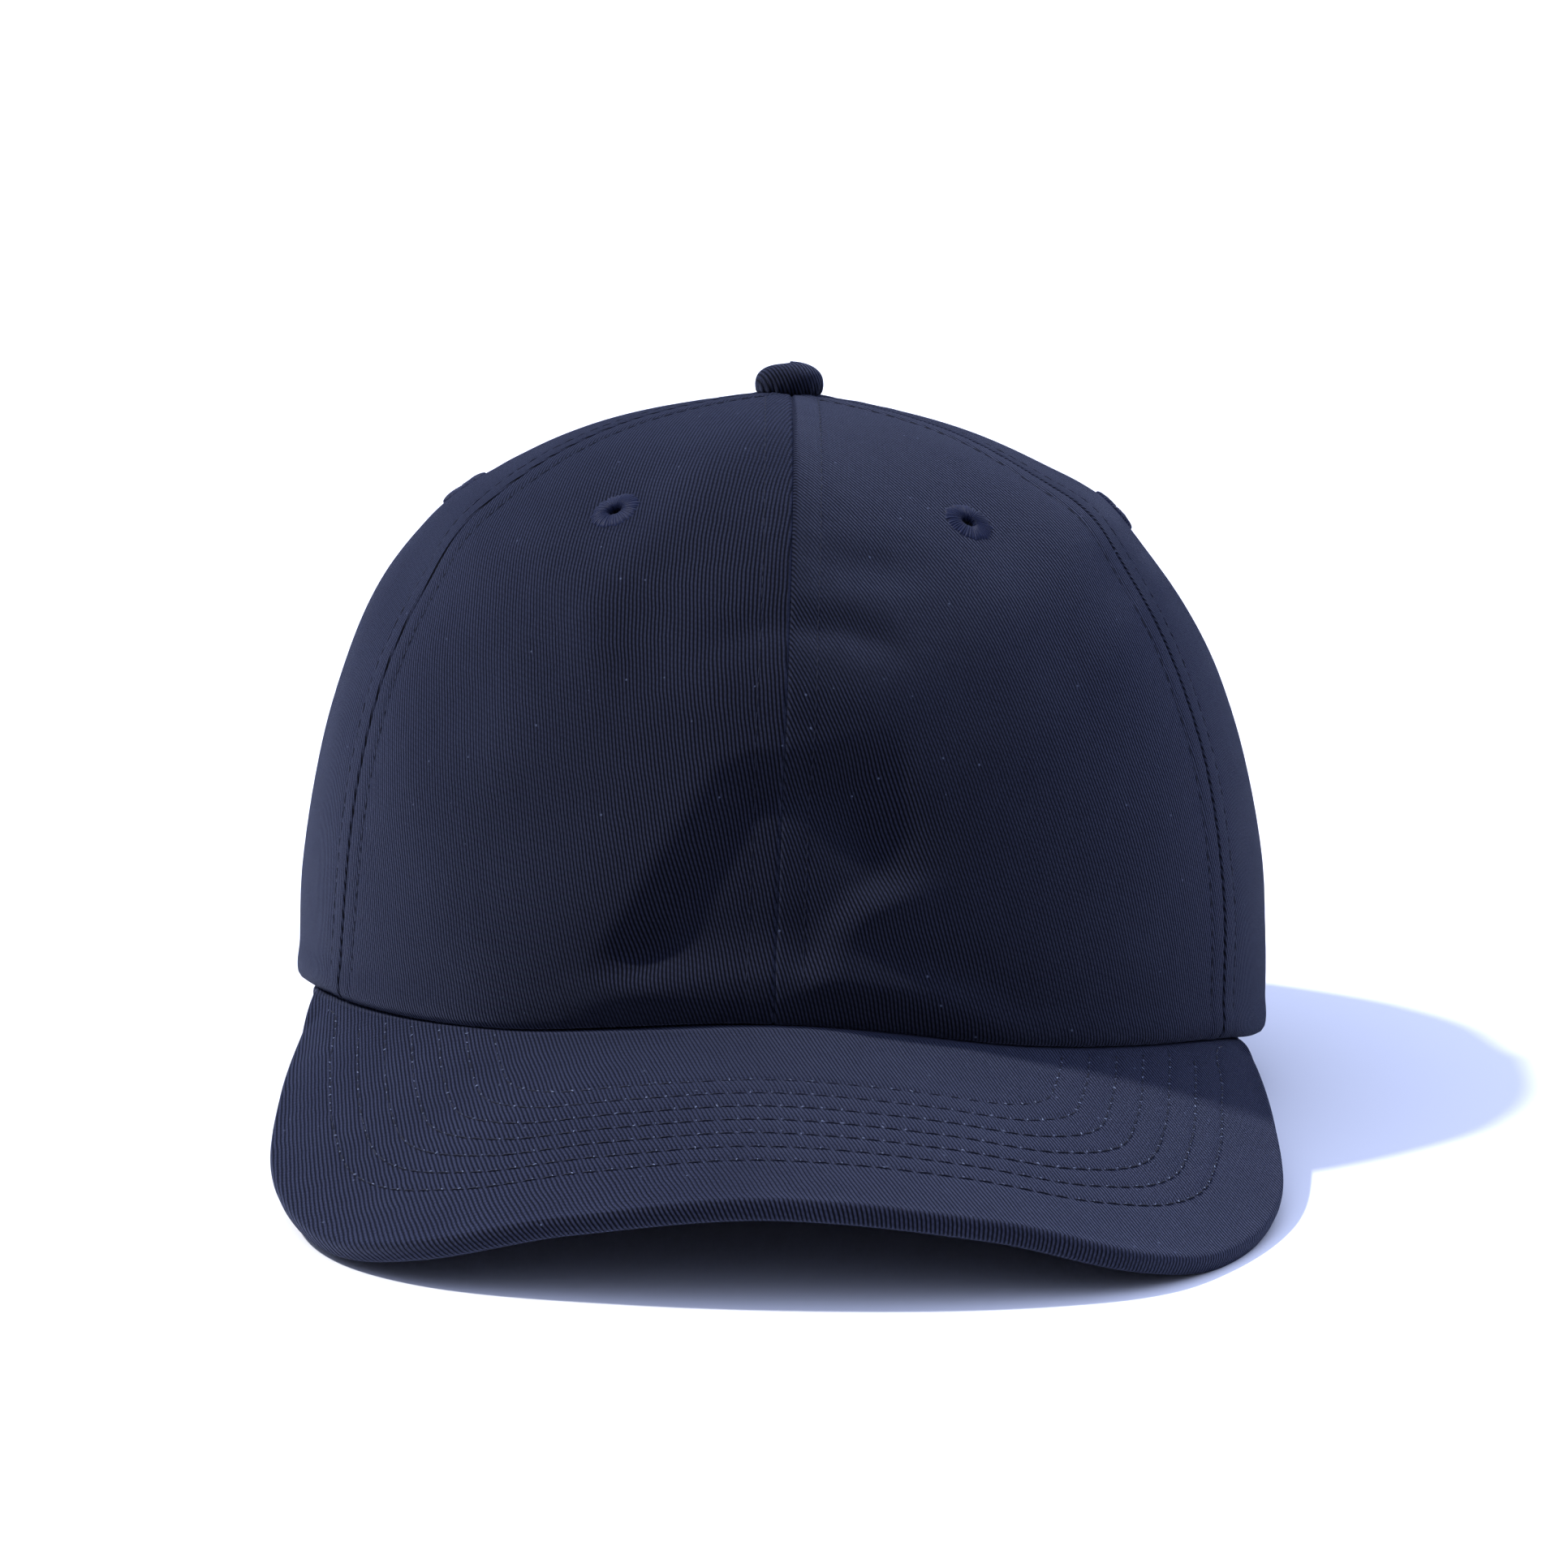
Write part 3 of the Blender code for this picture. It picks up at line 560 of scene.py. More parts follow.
class Nodes:
    """Short calls for building a shader tree."""

    def __init__(self, name):
        self.material = bpy.data.materials.new(name)
        self.material.use_nodes = True
        self.tree = self.material.node_tree
        self.shader = self.tree.nodes["Principled BSDF"]

    def add(self, kind, **inputs):
        node = self.tree.nodes.new(kind)
        for key, value in inputs.items():
            self.put(node.inputs[key.replace("_", " ")], value)
        return node

    def surface(self, **values):
        """Sets the shader's own sockets: a constant stays on its socket, and a pattern is linked to it."""
        for key, value in values.items():
            self.put(self.shader.inputs[key.replace("_", " ")], value)

    def put(self, socket, value):
        if isinstance(value, bpy.types.NodeSocket):
            self.tree.links.new(value, socket)
        else:
            socket.default_value = value

    def math(self, operation, *values):
        node = self.tree.nodes.new("ShaderNodeMath")
        node.operation = operation
        for k, value in enumerate(values):
            self.put(node.inputs[k], value)
        return node.outputs[0]

    def times(self, a, b):
        return self.math("MULTIPLY", a, b)

    def plus(self, a, b):
        return self.math("ADD", a, b)

    def weave(self):
        """The cloth's coordinates, together and apart."""
        uv = self.add("ShaderNodeUVMap")
        uv.uv_map = "weave"
        split = self.add("ShaderNodeSeparateXYZ", Vector=uv.outputs[0])
        return uv.outputs[0], split.outputs[0], split.outputs[1]

    def weave_axes(self, lean, pitch, floats):
        """Coordinates across and along the ribs, counted in ribs and floats."""
        uv, u, v = self.weave()
        c, s = math.cos(math.radians(lean)), math.sin(math.radians(lean))
        across = self.plus(self.times(u, c / pitch), self.times(v, s / pitch))
        along = self.math("SUBTRACT", self.times(v, c / floats), self.times(u, s / floats))
        return uv, across, along

    def noise(self, vector, scale, detail=3.0, roughness=0.55):
        node = self.add("ShaderNodeTexNoise", Vector=vector, Scale=scale, Detail=detail, Roughness=roughness)
        return node.outputs[0]

    def ramp(self, factor, *stops):
        node = self.add("ShaderNodeValToRGB", Fac=factor)
        points = node.color_ramp.elements
        while len(points) < len(stops):
            points.new(0.5)
        for point, (place, colour) in zip(points, stops):
            point.position = place
            point.color = (*colour, 1)
        return node.outputs[0]

    def blend(self, factor, a, b, mode="MIX"):
        node = self.tree.nodes.new("ShaderNodeMix")
        node.data_type = "RGBA"
        node.blend_type = mode
        self.put(node.inputs[0], factor)
        self.put(node.inputs[6], a)
        self.put(node.inputs[7], b)
        return node.outputs[2]

    def bump(self, height, distance, strength=1.0):
        return self.add("ShaderNodeBump", Height=height, Distance=distance, Strength=strength).outputs[0]


def twill_material(name, colour, lean, pitch=0.68 * MM, depth=0.22 * MM):
    """Cotton twill: slanting ribs built of short floats, with painted shade in their grooves, lint and slow
    changes of tone.
    """
    n = Nodes(name)
    uv, across, along = n.weave_axes(lean, pitch, 1.15 * MM)
    across = n.plus(across, n.times(n.math("SUBTRACT", n.noise(uv, 90.0, 2.0), 0.5), 1.1))
    rib = n.math("ABSOLUTE", n.math("SINE", n.times(across, math.pi)))
    stagger = n.plus(along, n.times(n.math("FLOOR", across), 0.37))
    stagger = n.plus(stagger, n.times(n.noise(uv, 900.0, 1.0), 0.7))
    floats = n.times(n.plus(n.math("COSINE", n.times(stagger, 2 * math.pi)), 1.0), 0.5)
    fibre = n.noise(uv, 5200.0, 4.0, 0.7)
    height = n.times(rib, n.plus(n.times(floats, 0.14), 0.86))
    height = n.plus(height, n.times(n.math("SUBTRACT", fibre, 0.5), 0.7))
    height = n.math("MAXIMUM", height, 0.0)

    # Painted shade: the colour falls to 0.06× in the grooves between ribs, where shade lies, and rises to
    # 2.6× on the rib tops, which washing has also worn paler.
    groove_shade = tuple(c * 0.06 for c in colour)
    light = tuple(min(c * 2.6, 1) for c in colour)
    shade = n.blend(n.math("POWER", height, 2.0), (*groove_shade, 1), (*light, 1))
    mottle = n.noise(uv, 45.0, 3.0)
    patches = n.ramp(mottle, (0.3, (0.84, 0.84, 0.86)), (0.7, (1.10, 1.10, 1.08)))
    shade = n.blend(0.9, shade, patches, "MULTIPLY")
    lint = n.add("ShaderNodeTexVoronoi", Vector=uv, Scale=420.0)
    lint.feature = "F1"
    near = n.math("LESS_THAN", lint.outputs["Distance"], 0.09)
    split = n.add("ShaderNodeSeparateColor", Color=lint.outputs["Color"])
    rare = n.math("GREATER_THAN", split.outputs[0], 0.90)
    speck = n.times(n.times(near, rare), 0.35)
    shade = n.blend(speck, shade, (0.16, 0.19, 0.28, 1))

    n.surface(Base_Color=shade, Roughness=n.plus(n.times(fibre, 0.2), 0.68), Normal=n.bump(height, depth))
    n.surface(Specular_IOR_Level=0.04)
    n.surface(Sheen_Weight=0.19, Sheen_Roughness=0.27, Sheen_Tint=(0.50, 0.58, 0.95, 1))
    return n.material


def thread_material(name, colour, roughness=0.5):
    """Sewing thread: smooth, a little shiny, with fine uneven fibres."""
    n = Nodes(name)
    where = n.add("ShaderNodeTexCoord").outputs["Object"]
    fibre = n.noise(where, 4000.0, 2.0)
    shade = n.ramp(fibre, (0.3, tuple(c * 0.7 for c in colour)), (0.7, tuple(c * 1.3 for c in colour)))
    n.surface(Base_Color=shade, Normal=n.bump(fibre, 0.06 * MM))
    n.surface(Roughness=roughness, Specular_IOR_Level=0.10, Sheen_Weight=0.05)
    return n.material


def tape_material(name, colour, pitch):
    """Herringbone tape: slanting ribs that change direction in narrow bands."""
    n = Nodes(name)
    uv, u, v = n.weave()
    zigzag = n.math("PINGPONG", u, 1.75 * MM)
    rib = n.plus(n.times(zigzag, 2 / pitch), n.times(v, 2 / pitch))
    rib = n.math("ABSOLUTE", n.math("SINE", n.times(rib, math.pi)))
    fibre = n.noise(uv, 4800.0, 3.0, 0.7)
    height = n.plus(n.times(rib, 0.8), n.times(fibre, 0.4))
    # Painted shade: the colour is darker in the grooves between the ribs and lighter on their tops.
    groove_shade = (*(c * 0.45 for c in colour), 1)
    light = (*(c * 1.3 for c in colour), 1)
    n.surface(Base_Color=n.blend(height, groove_shade, light), Normal=n.bump(height, 0.10 * MM))
    n.surface(Roughness=0.8, Specular_IOR_Level=0.15, Sheen_Weight=0.08, Sheen_Roughness=0.35)
    return n.material


def satin_material(name):
    """White woven satin for the blank label."""
    n = Nodes(name)
    uv, _, _ = n.weave()
    stretched = n.add("ShaderNodeMapping", Vector=uv, Scale=(6000.0, 900.0, 1.0))
    thread = n.add("ShaderNodeTexNoise", Vector=stretched.outputs[0], Scale=1.0, Detail=2.0).outputs[0]
    shade = n.ramp(thread, (0.3, (0.62, 0.61, 0.58)), (0.7, (0.80, 0.79, 0.76)))
    n.surface(Base_Color=shade, Roughness=n.plus(n.times(thread, 0.3), 0.35), Sheen_Weight=0.2)
    n.surface(Normal=n.bump(thread, 0.05 * MM))
    return n.material


def brass_material(name):
    """Aged brass: brushed along its length, darker where it has tarnished."""
    n = Nodes(name)
    where = n.add("ShaderNodeTexCoord").outputs["Object"]
    stretched = n.add("ShaderNodeMapping", Vector=where, Scale=(500.0, 500.0, 9000.0))
    brushed = n.add("ShaderNodeTexNoise", Vector=stretched.outputs[0], Scale=1.0, Detail=3.0).outputs[0]
    patches = n.noise(where, 320.0, 4.0, 0.6)
    tarnished, dull, worn = (0.22, 0.145, 0.065), (0.34, 0.235, 0.11), (0.44, 0.32, 0.16)
    colour = n.ramp(patches, (0.25, tarnished), (0.5, dull), (0.78, worn))
    rough = n.plus(n.plus(n.times(patches, -0.35), 0.55), n.times(brushed, 0.08))
    n.surface(Base_Color=colour, Metallic=1.0, Roughness=rough, Normal=n.bump(brushed, 0.02 * MM, 0.5))
    return n.material


NAVY = (0.0098, 0.0112, 0.0200)
# One navy cloth in two copies: the crown's is painted 0.88× darker as shade, and the visor's is painted 1.25×
# lighter as light.
crown_twill = twill_material("crown_twill", tuple(c * 0.88 for c in NAVY), 17.0)
visor_twill = twill_material("visor_twill", tuple(c * 1.25 for c in NAVY), 17.5)
seam_thread = thread_material("seam_thread", (0.006, 0.0075, 0.017))
eyelet_thread = thread_material("eyelet_thread", (0.0080, 0.0115, 0.034), 0.45)
fray_thread = thread_material("fray_thread", (0.17, 0.20, 0.28), 0.8)


# ---------------------------------------------------------------- crown panels

PANEL_NAMES = ("front_right", "side_right", "rear_right", "rear_left", "side_left", "front_left")
ROWS = 190
NEAR_SEAM = (0, 0.0025, 0.005, 0.009, 0.016, 0.030, 0.042, 0.050)
SEAM_SHARES = np.concatenate([NEAR_SEAM, np.linspace(0.058, 0.5, 30)])
SHARES = np.concatenate([SEAM_SHARES, 1 - SEAM_SHARES[-2::-1]])


def seam_relief(distance, along, seed):
    """Height of the cloth near a seam: its valley, the ridge over the allowance, the sunken stitches."""
    d = distance / MM
    a = along / MM
    ridge = 0.14 * step(6.5, 3.2, d)
    valley = -0.5 * hump(d, 0, 0.34)
    sunk = -0.13 * hump(d, 5.0, 0.7)
    pucker = 0.05 * soft_noise(a * 0.9, a * 0.0, seed, 2) * hump(d, 4.0, 2.6)
    return (ridge + valley + sunk + pucker) * MM


def hem_relief(distance):
    """Height near the folded lower edge: a soft roll that turns in at the edge."""
    d = distance / MM
    return (0.35 * step(7, 2.5, d) - 0.75 * np.exp(-(d / 0.7))) * MM


def arch_height(angle):
    """Height of the back arch's edge at an angle, or the rim's height beside it."""
    across = np.abs(np.sin(np.radians(angle))) * base_radius(angle)
    inside = np.clip(1 - (across / ARCH_HALF_WIDTH) ** 2, 0, None) * (from_front(angle) > 90)
    return np.maximum(ARCH_HEIGHT * np.sqrt(inside), rim_height(angle))


ARCH_FOOT = 180 - math.degrees(math.asin(ARCH_HALF_WIDTH / HALF_WIDTH))
SEAM_GAP = 0.10  # degrees left free on each side of a seam


def panel_angles(k):
    """Column angles across panel k, dense at the seams and at the foot of the arch."""
    first = SEAMS[k] + SEAM_GAP
    if not PANEL_NAMES[k].startswith("rear"):
        return first + (60 - 2 * SEAM_GAP) * SHARES
    plain = 120 + SEAM_GAP + (ARCH_FOOT - 120 - SEAM_GAP) * SHARES[:34] / SHARES[33]
    turn = np.linspace(0, np.pi / 2, 40)[1:]
    over = 180 - np.degrees(np.arcsin(ARCH_HALF_WIDTH * np.cos(turn) / HALF_WIDTH))
    near = 180 - SEAM_GAP - np.array([3.4, 2.5, 1.7, 1.1, 0.6, 0.25, 0.0])
    over = over[over < near[0] - 0.4]
    angles = np.concatenate([plain, over, near])
    return angles if PANEL_NAMES[k] == "rear_right" else 360 - angles[::-1]


def crown_panel(k):
    """One panel of the crown, a wedge between two seams, cut round the arch at the back."""
    name = "panel_" + PANEL_NAMES[k]
    angles = panel_angles(k)
    middle = SEAMS[k] + 30.0
    top = rise_at_radius(middle, 2.4 * MM)
    column_rises = even_rises(middle, 0.0, top, ROWS)
    first = rise_at_height(angles, arch_height(angles))
    first = np.where(arch_height(angles) <= rim_height(angles) + 1e-9, 0.0, first)
    rises = first[None] + (top - first[None]) * (column_rises / top)[:, None]
    grid = np.broadcast_to(angles[None], rises.shape)
    smooth = dome(grid, rises)
    normal = dome_normal(grid, rises)
    soft = swell(grid, smooth)

    radius = np.hypot(smooth[..., 0], smooth[..., 1])
    left = np.radians(grid - SEAMS[k]) * radius
    right = np.radians(SEAMS[k] + 60 - grid) * radius
    along = arc_lengths(smooth)
    relief = seam_relief(left, along, 3 + k) + seam_relief(right, along, 3 + (k + 1) % 6)
    hem = along
    if name.startswith("panel_rear"):
        side = np.radians(from_front(grid) - ARCH_FOOT) * radius
        beside = np.where(side < 0, -side, 1.0)
        hem = np.minimum(hem, np.where(smooth[..., 2] < ARCH_HEIGHT, beside, 1.0))
    relief = relief + hem_relief(hem)
    outer = smooth + normal * (soft + relief)[..., None]
    inner = smooth + normal * (soft - PANEL)[..., None]

    u = np.radians(grid - middle) * radius
    column = dome(np.full(ROWS, middle), column_rises)
    height = np.interp(rises, column_rises, arc_lengths(column))
    uv = np.stack([u + 0.13 * k, height], -1)
    return shell(name + "_cloth", outer, inner, crown_twill, uv, replaced=[name])


panels = [crown_panel(k) for k in range(6)]


# ---------------------------------------------------------------- stitching on the crown


def crown_line(angles, rises, lift=0.0):
    """Points and normals of a line drawn on the crown's outer face."""
    spot = dome(angles, rises)
    normal = dome_normal(angles, rises)
    return spot + normal * (swell(angles, spot) + lift)[..., None], normal


def seam_stitch_lines():
    """A line on each side of every seam, from just over the edge to just under the button."""
    lines = []
    for seam in SEAMS:
        foot = ARCH_HEIGHT + 1.0 * MM if seam == 180 else rim_height(seam) + 1.2 * MM
        rises = seam_rises(seam, foot, 9.5 * MM, 220)
        spread = np.degrees(5.0 * MM / radius_at_rise(float(seam), rises))
        lines += [crown_line(seam + spread * side, rises, -0.04 * MM) for side in (-1, 1)]
    return lines


stitches("crown_topstitching", seam_stitch_lines(), CROWN_STITCH, seed=1)


# ---------------------------------------------------------------- eyelets


def crown_frame(angle, rise):
    """Centre and right, up and outward directions on the crown."""
    angle, rise = float(angle), float(rise)
    here = crown(angle, rise)
    right = unit(crown(angle + 1, rise) - crown(angle - 1, rise))
    up = crown(angle, rise + 0.01) - crown(angle, rise - 0.01)
    out = unit(np.cross(right, up))
    return here, right, np.cross(out, right), out


def eyelet(k):
    """A ring of satin stitches worked over the edge of a small hole."""
    rng = np.random.default_rng(50 + k)
    threads, per = 46, 6
    spokes = np.arange(threads * per)
    turn = spokes * 2 * np.pi / len(spokes)
    number, phase = spokes // per, (spokes % per) / per
    cord = np.sin(phase * np.pi) ** 0.7
    outer = (4.75 + rng.normal(0, 0.15, threads))[number] * (0.955 + 0.045 * cord)
    inner = (1.25 + rng.normal(0, 0.06, threads))[number] * (1.06 - 0.06 * cord)
    swing = rng.normal(0, 0.02, threads)[number]
    across = np.array([0.0, 0.0, 0.03, 0.1, 0.22, 0.4, 0.6, 0.78, 0.9, 0.97, 1.0, 1.0])
    lift = np.array([-1.3, -0.4, 0.15, 0.42, 0.62, 0.70, 0.66, 0.55, 0.40, 0.24, 0.0, -0.6])
    radius = inner[:, None] + (outer - inner)[:, None] * across[None]
    height = lift[None] - (0.20 * (1 - cord))[:, None] * step(-0.4, 0.3, lift)[None]
    height = height + rng.normal(0, 0.03, threads)[number][:, None]
    angle = turn[:, None] + swing[:, None] * across[None]
    here, right, up, out = crown_frame(SEAMS[k] + 30, EYELET_RISE)
    x, y = radius * np.cos(angle) * MM, radius * np.sin(angle) * MM
    drop = -(x**2 + y**2) / (2 * 0.062)
    verts = here + x[..., None] * right + y[..., None] * up + (height * MM + drop)[..., None] * out
    rings = len(across)
    inmost = spokes * rings
    after = np.roll(inmost, -1)
    closing = np.stack([inmost + rings - 1, inmost, after, after + rings - 1], -1)
    faces = np.concatenate([ring_faces(len(spokes), rings)[:, [0, 3, 2, 1]], closing])
    name = "eyelet_" + PANEL_NAMES[k]
    make_object(name + "_thread", verts.reshape(-1, 3), faces, eyelet_thread, replaced=[name])


def combine(obj, other, operation):
    """Joins another solid to a piece or cuts it out of the piece, and removes it."""
    change = obj.modifiers.new("change", "BOOLEAN")
    change.operation, change.solver, change.object = operation, "MANIFOLD", other
    bpy.context.view_layer.objects.active = obj
    bpy.ops.object.modifier_apply(modifier=change.name)
    bpy.data.objects.remove(other)


def cut_eyelet_hole(panel, k):
    """Opens the cloth inside an eyelet."""
    here, right, up, out = crown_frame(SEAMS[k] + 30, EYELET_RISE)
    bpy.ops.mesh.primitive_cylinder_add(vertices=24, radius=1.5 * MM, depth=12 * MM)
    tool = bpy.context.object
    tool.matrix_world = Matrix.Translation(here) @ Matrix((right, up, out)).transposed().to_4x4()
    combine(panel, tool, "DIFFERENCE")


for k, panel in enumerate(panels):
    cut_eyelet_hole(panel, k)
    eyelet(k)


# ---------------------------------------------------------------- button


# The soft crown has pulled the button a little towards the wearer's right.
BUTTON_SHIFT = -0.9 * MM
BUTTON_POWER = 0.86


def button():
    """The covered button: cloth drawn over a cap and gathered under its rim."""
    count, rings = 132, 30
    turn = np.arange(count) * 2 * np.pi / count
    share = np.linspace(0, 1, rings)
    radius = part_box("button_cover")[1].x
    low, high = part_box("button_cover")[0].z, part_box("button_cover")[1].z
    # Above the widest place it is a flattened dome, below it the cloth is drawn in under the rim.
    belt, widest, belt_rise, dome_rise = 0.25, 6.33, 1.2, 3.95
    over = np.clip((share - belt) / (1 - belt), 0, 1) * np.pi / 2
    tucked = smooth_line(((0, 4.9, -1.2), (0.12, 6.0, -0.3), (belt, widest, belt_rise)), share)
    dome_r = widest * np.cos(over) ** BUTTON_POWER
    dome_z = belt_rise + dome_rise * np.sin(over) ** BUTTON_POWER
    profile_r = np.maximum(np.where(share < belt, tucked[:, 0], dome_r), 0.02)
    profile_z = np.where(share < belt, tucked[:, 1], dome_z)
    gather = step(0.34, 0.05, share)
    wave = np.sin(turn[:, None] * 19 + 0.6 * np.sin(3 * turn)[:, None])
    r = profile_r[None] * radius / (6.35 * MM) * MM + 0.16 * MM * wave * gather[None]
    z = low + profile_z[None] / 5.6 * (high - low) + 0 * r
    lean = 0.25 * MM * np.cos(turn)[:, None] * share[None]
    verts = np.stack([r * np.cos(turn)[:, None] + BUTTON_SHIFT, r * np.sin(turn)[:, None], z + lean], -1)
    uv = np.stack([verts[..., 0] + verts[..., 2] * 0.4, verts[..., 1]], -1).reshape(-1, 2)
    foot = np.arange(count) * rings
    faces = [*ring_faces(count, rings), foot[::-1], foot + rings - 1]
    make_object("button_cloth", verts.reshape(-1, 3), faces, crown_twill, uv, replaced=["button_cover"])


button()


# ---------------------------------------------------------------- visor

VISOR_COLS = 301
VISOR_ROWS = 84
EDGE_DROP = 3.5 * MM  # the height of the wrapped edge


def visor_edge(angle):
    """Radius and height of the visor's outer edge at an angle."""
    values = smooth_line(VISOR_EDGE, from_front(angle)) * MM
    right = step(4, -4, np.asarray(angle, float))[..., None]
    edge = values[..., :2] * right + values[..., 2:] * (1 - right)
    return edge[..., 0], edge[..., 1]


def visor_height(angle, radius):
    """Height of the visor's upper face at a radius from the origin."""
    edge_radius, edge_height = visor_edge(angle)
    root_radius = base_radius(angle)
    root_height = rim_height(angle) - 0.8 * MM
    slope = (edge_height - root_height) / np.maximum(edge_radius - root_radius, 6 * MM)
    outside = root_height + slope * (radius - root_radius)
    inside = root_height - 0.08 * (radius - root_radius)
    return np.where(radius < root_radius, inside, outside)


def visor_spot(angle, radius):
    """Places on the visor's upper face."""
    spot = direction(angle) * radius[..., None]
    spot[..., 2] = visor_height(angle, radius)
    return spot


def visor_normal(angle, radius):
    along = visor_spot(angle + 0.3, radius) - visor_spot(angle - 0.3, radius)
    inwards = visor_spot(angle, radius - 0.4 * MM) - visor_spot(angle, radius + 0.4 * MM)
    return unit(np.cross(along, inwards))


ROW_PITCH = 5.03 * MM


def visor_rows():
    """Seven sewn rows as (angle, radius) lines: the outermost one, and six inside it at a fixed pitch."""
    angles = np.linspace(-60, 60, 961)
    radius = smooth_line(SEWN_ROW, np.abs(angles))[:, 0] * MM
    outline = direction(angles)[:, :2] * radius[:, None]
    squeeze = np.array([1.07, 1.0])
    rows = [(angles, radius)]
    centre = np.array([0.0, -0.075])
    heading = direction(np.linspace(-100, 100, 401))[:, :2]
    for k in range(1, 7):
        low, high = np.zeros(len(heading)), np.full(len(heading), 0.12)
        for _ in range(24):
            middle = (low + high) / 2
            spot = centre + heading * middle[:, None]
            gap = np.sqrt((((spot[:, None] - outline[None]) * squeeze) ** 2).sum(-1)).min(1)
            place, reach = np.degrees(np.arctan2(spot[:, 0], -spot[:, 1])), np.hypot(spot[:, 0], spot[:, 1])
            deep = (reach < np.interp(place, angles, radius)) & (gap > ROW_PITCH * k)
            low, high = np.where(deep, middle, low), np.where(deep, high, middle)
        spot = centre + heading * low[:, None]
        for _ in range(40):
            spot[1:-1] = spot[1:-1] * 0.5 + (spot[:-2] + spot[2:]) * 0.25
        rows.append((np.degrees(np.arctan2(spot[:, 0], -spot[:, 1])), np.hypot(spot[:, 0], spot[:, 1])))
    clear = [reach > base_radius(place) + 1 * MM for place, reach in rows]
    return [(place[kept], reach[kept]) for (place, reach), kept in zip(rows, clear)]


sewn_rows = visor_rows()


def row_distance(spots):
    """Distance from each point to the nearest sewn row, in plan."""
    line = np.concatenate([direction(a)[:, :2] * r[:, None] for a, r in sewn_rows])
    flat = spots[..., :2].reshape(-1, 2)
    best = np.empty(len(flat))
    for start in range(0, len(flat), 4000):
        part = flat[start : start + 4000]
        best[start : start + 4000] = np.sqrt(((part[:, None] - line[None]) ** 2).sum(-1)).min(1)
    return best.reshape(spots.shape[:-1])


def visor_grid(profile, depth):
    """Angles, radii and depths of a visor cover. The profile lists (inset, depth) round its edge."""
    angles = np.linspace(VISOR_TIP, -VISOR_TIP, VISOR_COLS)
    edge, _ = visor_edge(angles)
    root = base_radius(angles) - ROOT_DEPTH
    profile = np.array(profile) * MM
    last = profile[-1, 0]
    run = (edge - root - last)[:, None] * np.linspace(0, 1, VISOR_ROWS)[None, 1:]
    radii = np.concatenate([edge[:, None] - profile[None, :, 0], edge[:, None] - last - run], 1)
    depths = np.concatenate([profile[:, 1], np.full(VISOR_ROWS - 1, depth)])
    grid = np.broadcast_to(angles[:, None], radii.shape)
    return grid, radii, np.broadcast_to(depths[None], radii.shape)


def visor_weave(spot):
    """Cloth coordinates on the visor: its grain fans out a little towards the edge."""
    reach = 0.30 - spot[..., 1]
    turn = np.arctan2(spot[..., 0], reach)
    return np.stack([turn * 0.42, 0.42 - np.hypot(spot[..., 0], reach)], -1)


def visor_slack(spot):
    """Slow waves of the cloth stretched over the board."""
    return 0.25 * MM * soft_noise(spot[..., 0] * 60, spot[..., 1] * 60, 21)


ROOT_DEPTH = 4.3 * MM  # how far the visor's covers reach in under the crown


def visor_top():
    """The upper cover: its cloth wraps round the visor's rounded edge and sinks along the sewn rows."""
    r = 1.1
    drop = EDGE_DROP / MM
    arc = [math.radians(a) for a in (90, 60, 30, 0)]
    low = [(r - r * math.cos(a), drop - r + r * math.sin(a)) for a in arc]
    high = [(r - r * math.cos(a), r - r * math.sin(a)) for a in arc[::-1]]
    profile = low + [(0.0, drop * 0.5)] + high
    grid, radii, depths = visor_grid(profile, 0.0)
    smooth = visor_spot(grid, radii)
    normal = visor_normal(grid, radii)
    channel = -0.15 * MM * hump(row_distance(smooth) / MM, 0, 0.65)
    lip = 0.16 * MM * hump(depths / MM, 0.0, 0.5) * hump((visor_edge(grid)[0] - radii) / MM, 1.0, 1.4)
    relief = np.where(depths == 0, channel + visor_slack(smooth), 0) + lip
    outer = smooth + normal * (relief - depths)[..., None]
    # The inner face follows the outer one at the cloth's thickness, measured across the edge's curve.
    rows_out = np.gradient(outer, axis=1)
    cols_out = np.gradient(outer, axis=0)
    facing = unit(np.cross(cols_out, rows_out))
    facing = facing * np.sign((facing * normal).sum(-1)[:, -20:-19, None]).mean()
    inner = outer - facing * 0.8 * MM
    length = arc_lengths(outer, axis=1)
    start = len(profile) - 1
    wrap = (length[:, start : start + 1] - length)[..., None] * direction(grid)
    lip_spots = (np.arange(grid.shape[1]) < start)[None, :, None]
    uv = visor_weave(np.where(lip_spots, smooth[:, start : start + 1] + wrap, smooth))
    shell("visor_top_cloth", outer, inner, visor_twill, uv, replaced=["visor_cover_top", "visor_board"])


visor_top()


def visor_row_lines(depth, flip=1):
    """The sewn rows at a depth in the visor. Above, they sink into the cloth as they near the crown."""
    lines = []
    for angle, radius in sewn_rows:
        spot, normal = visor_spot(angle, radius), visor_normal(angle, radius)
        if flip > 0:
            rise = visor_slack(spot) - 0.16 * MM * step(34, 12, (radius - base_radius(angle)) / MM)
            spot = spot + normal * rise[:, None]
        lines.append((spot - normal * depth, normal * flip))
    return lines


stitches("visor_topstitching", visor_row_lines(0.06 * MM), VISOR_STITCH, seed=7)


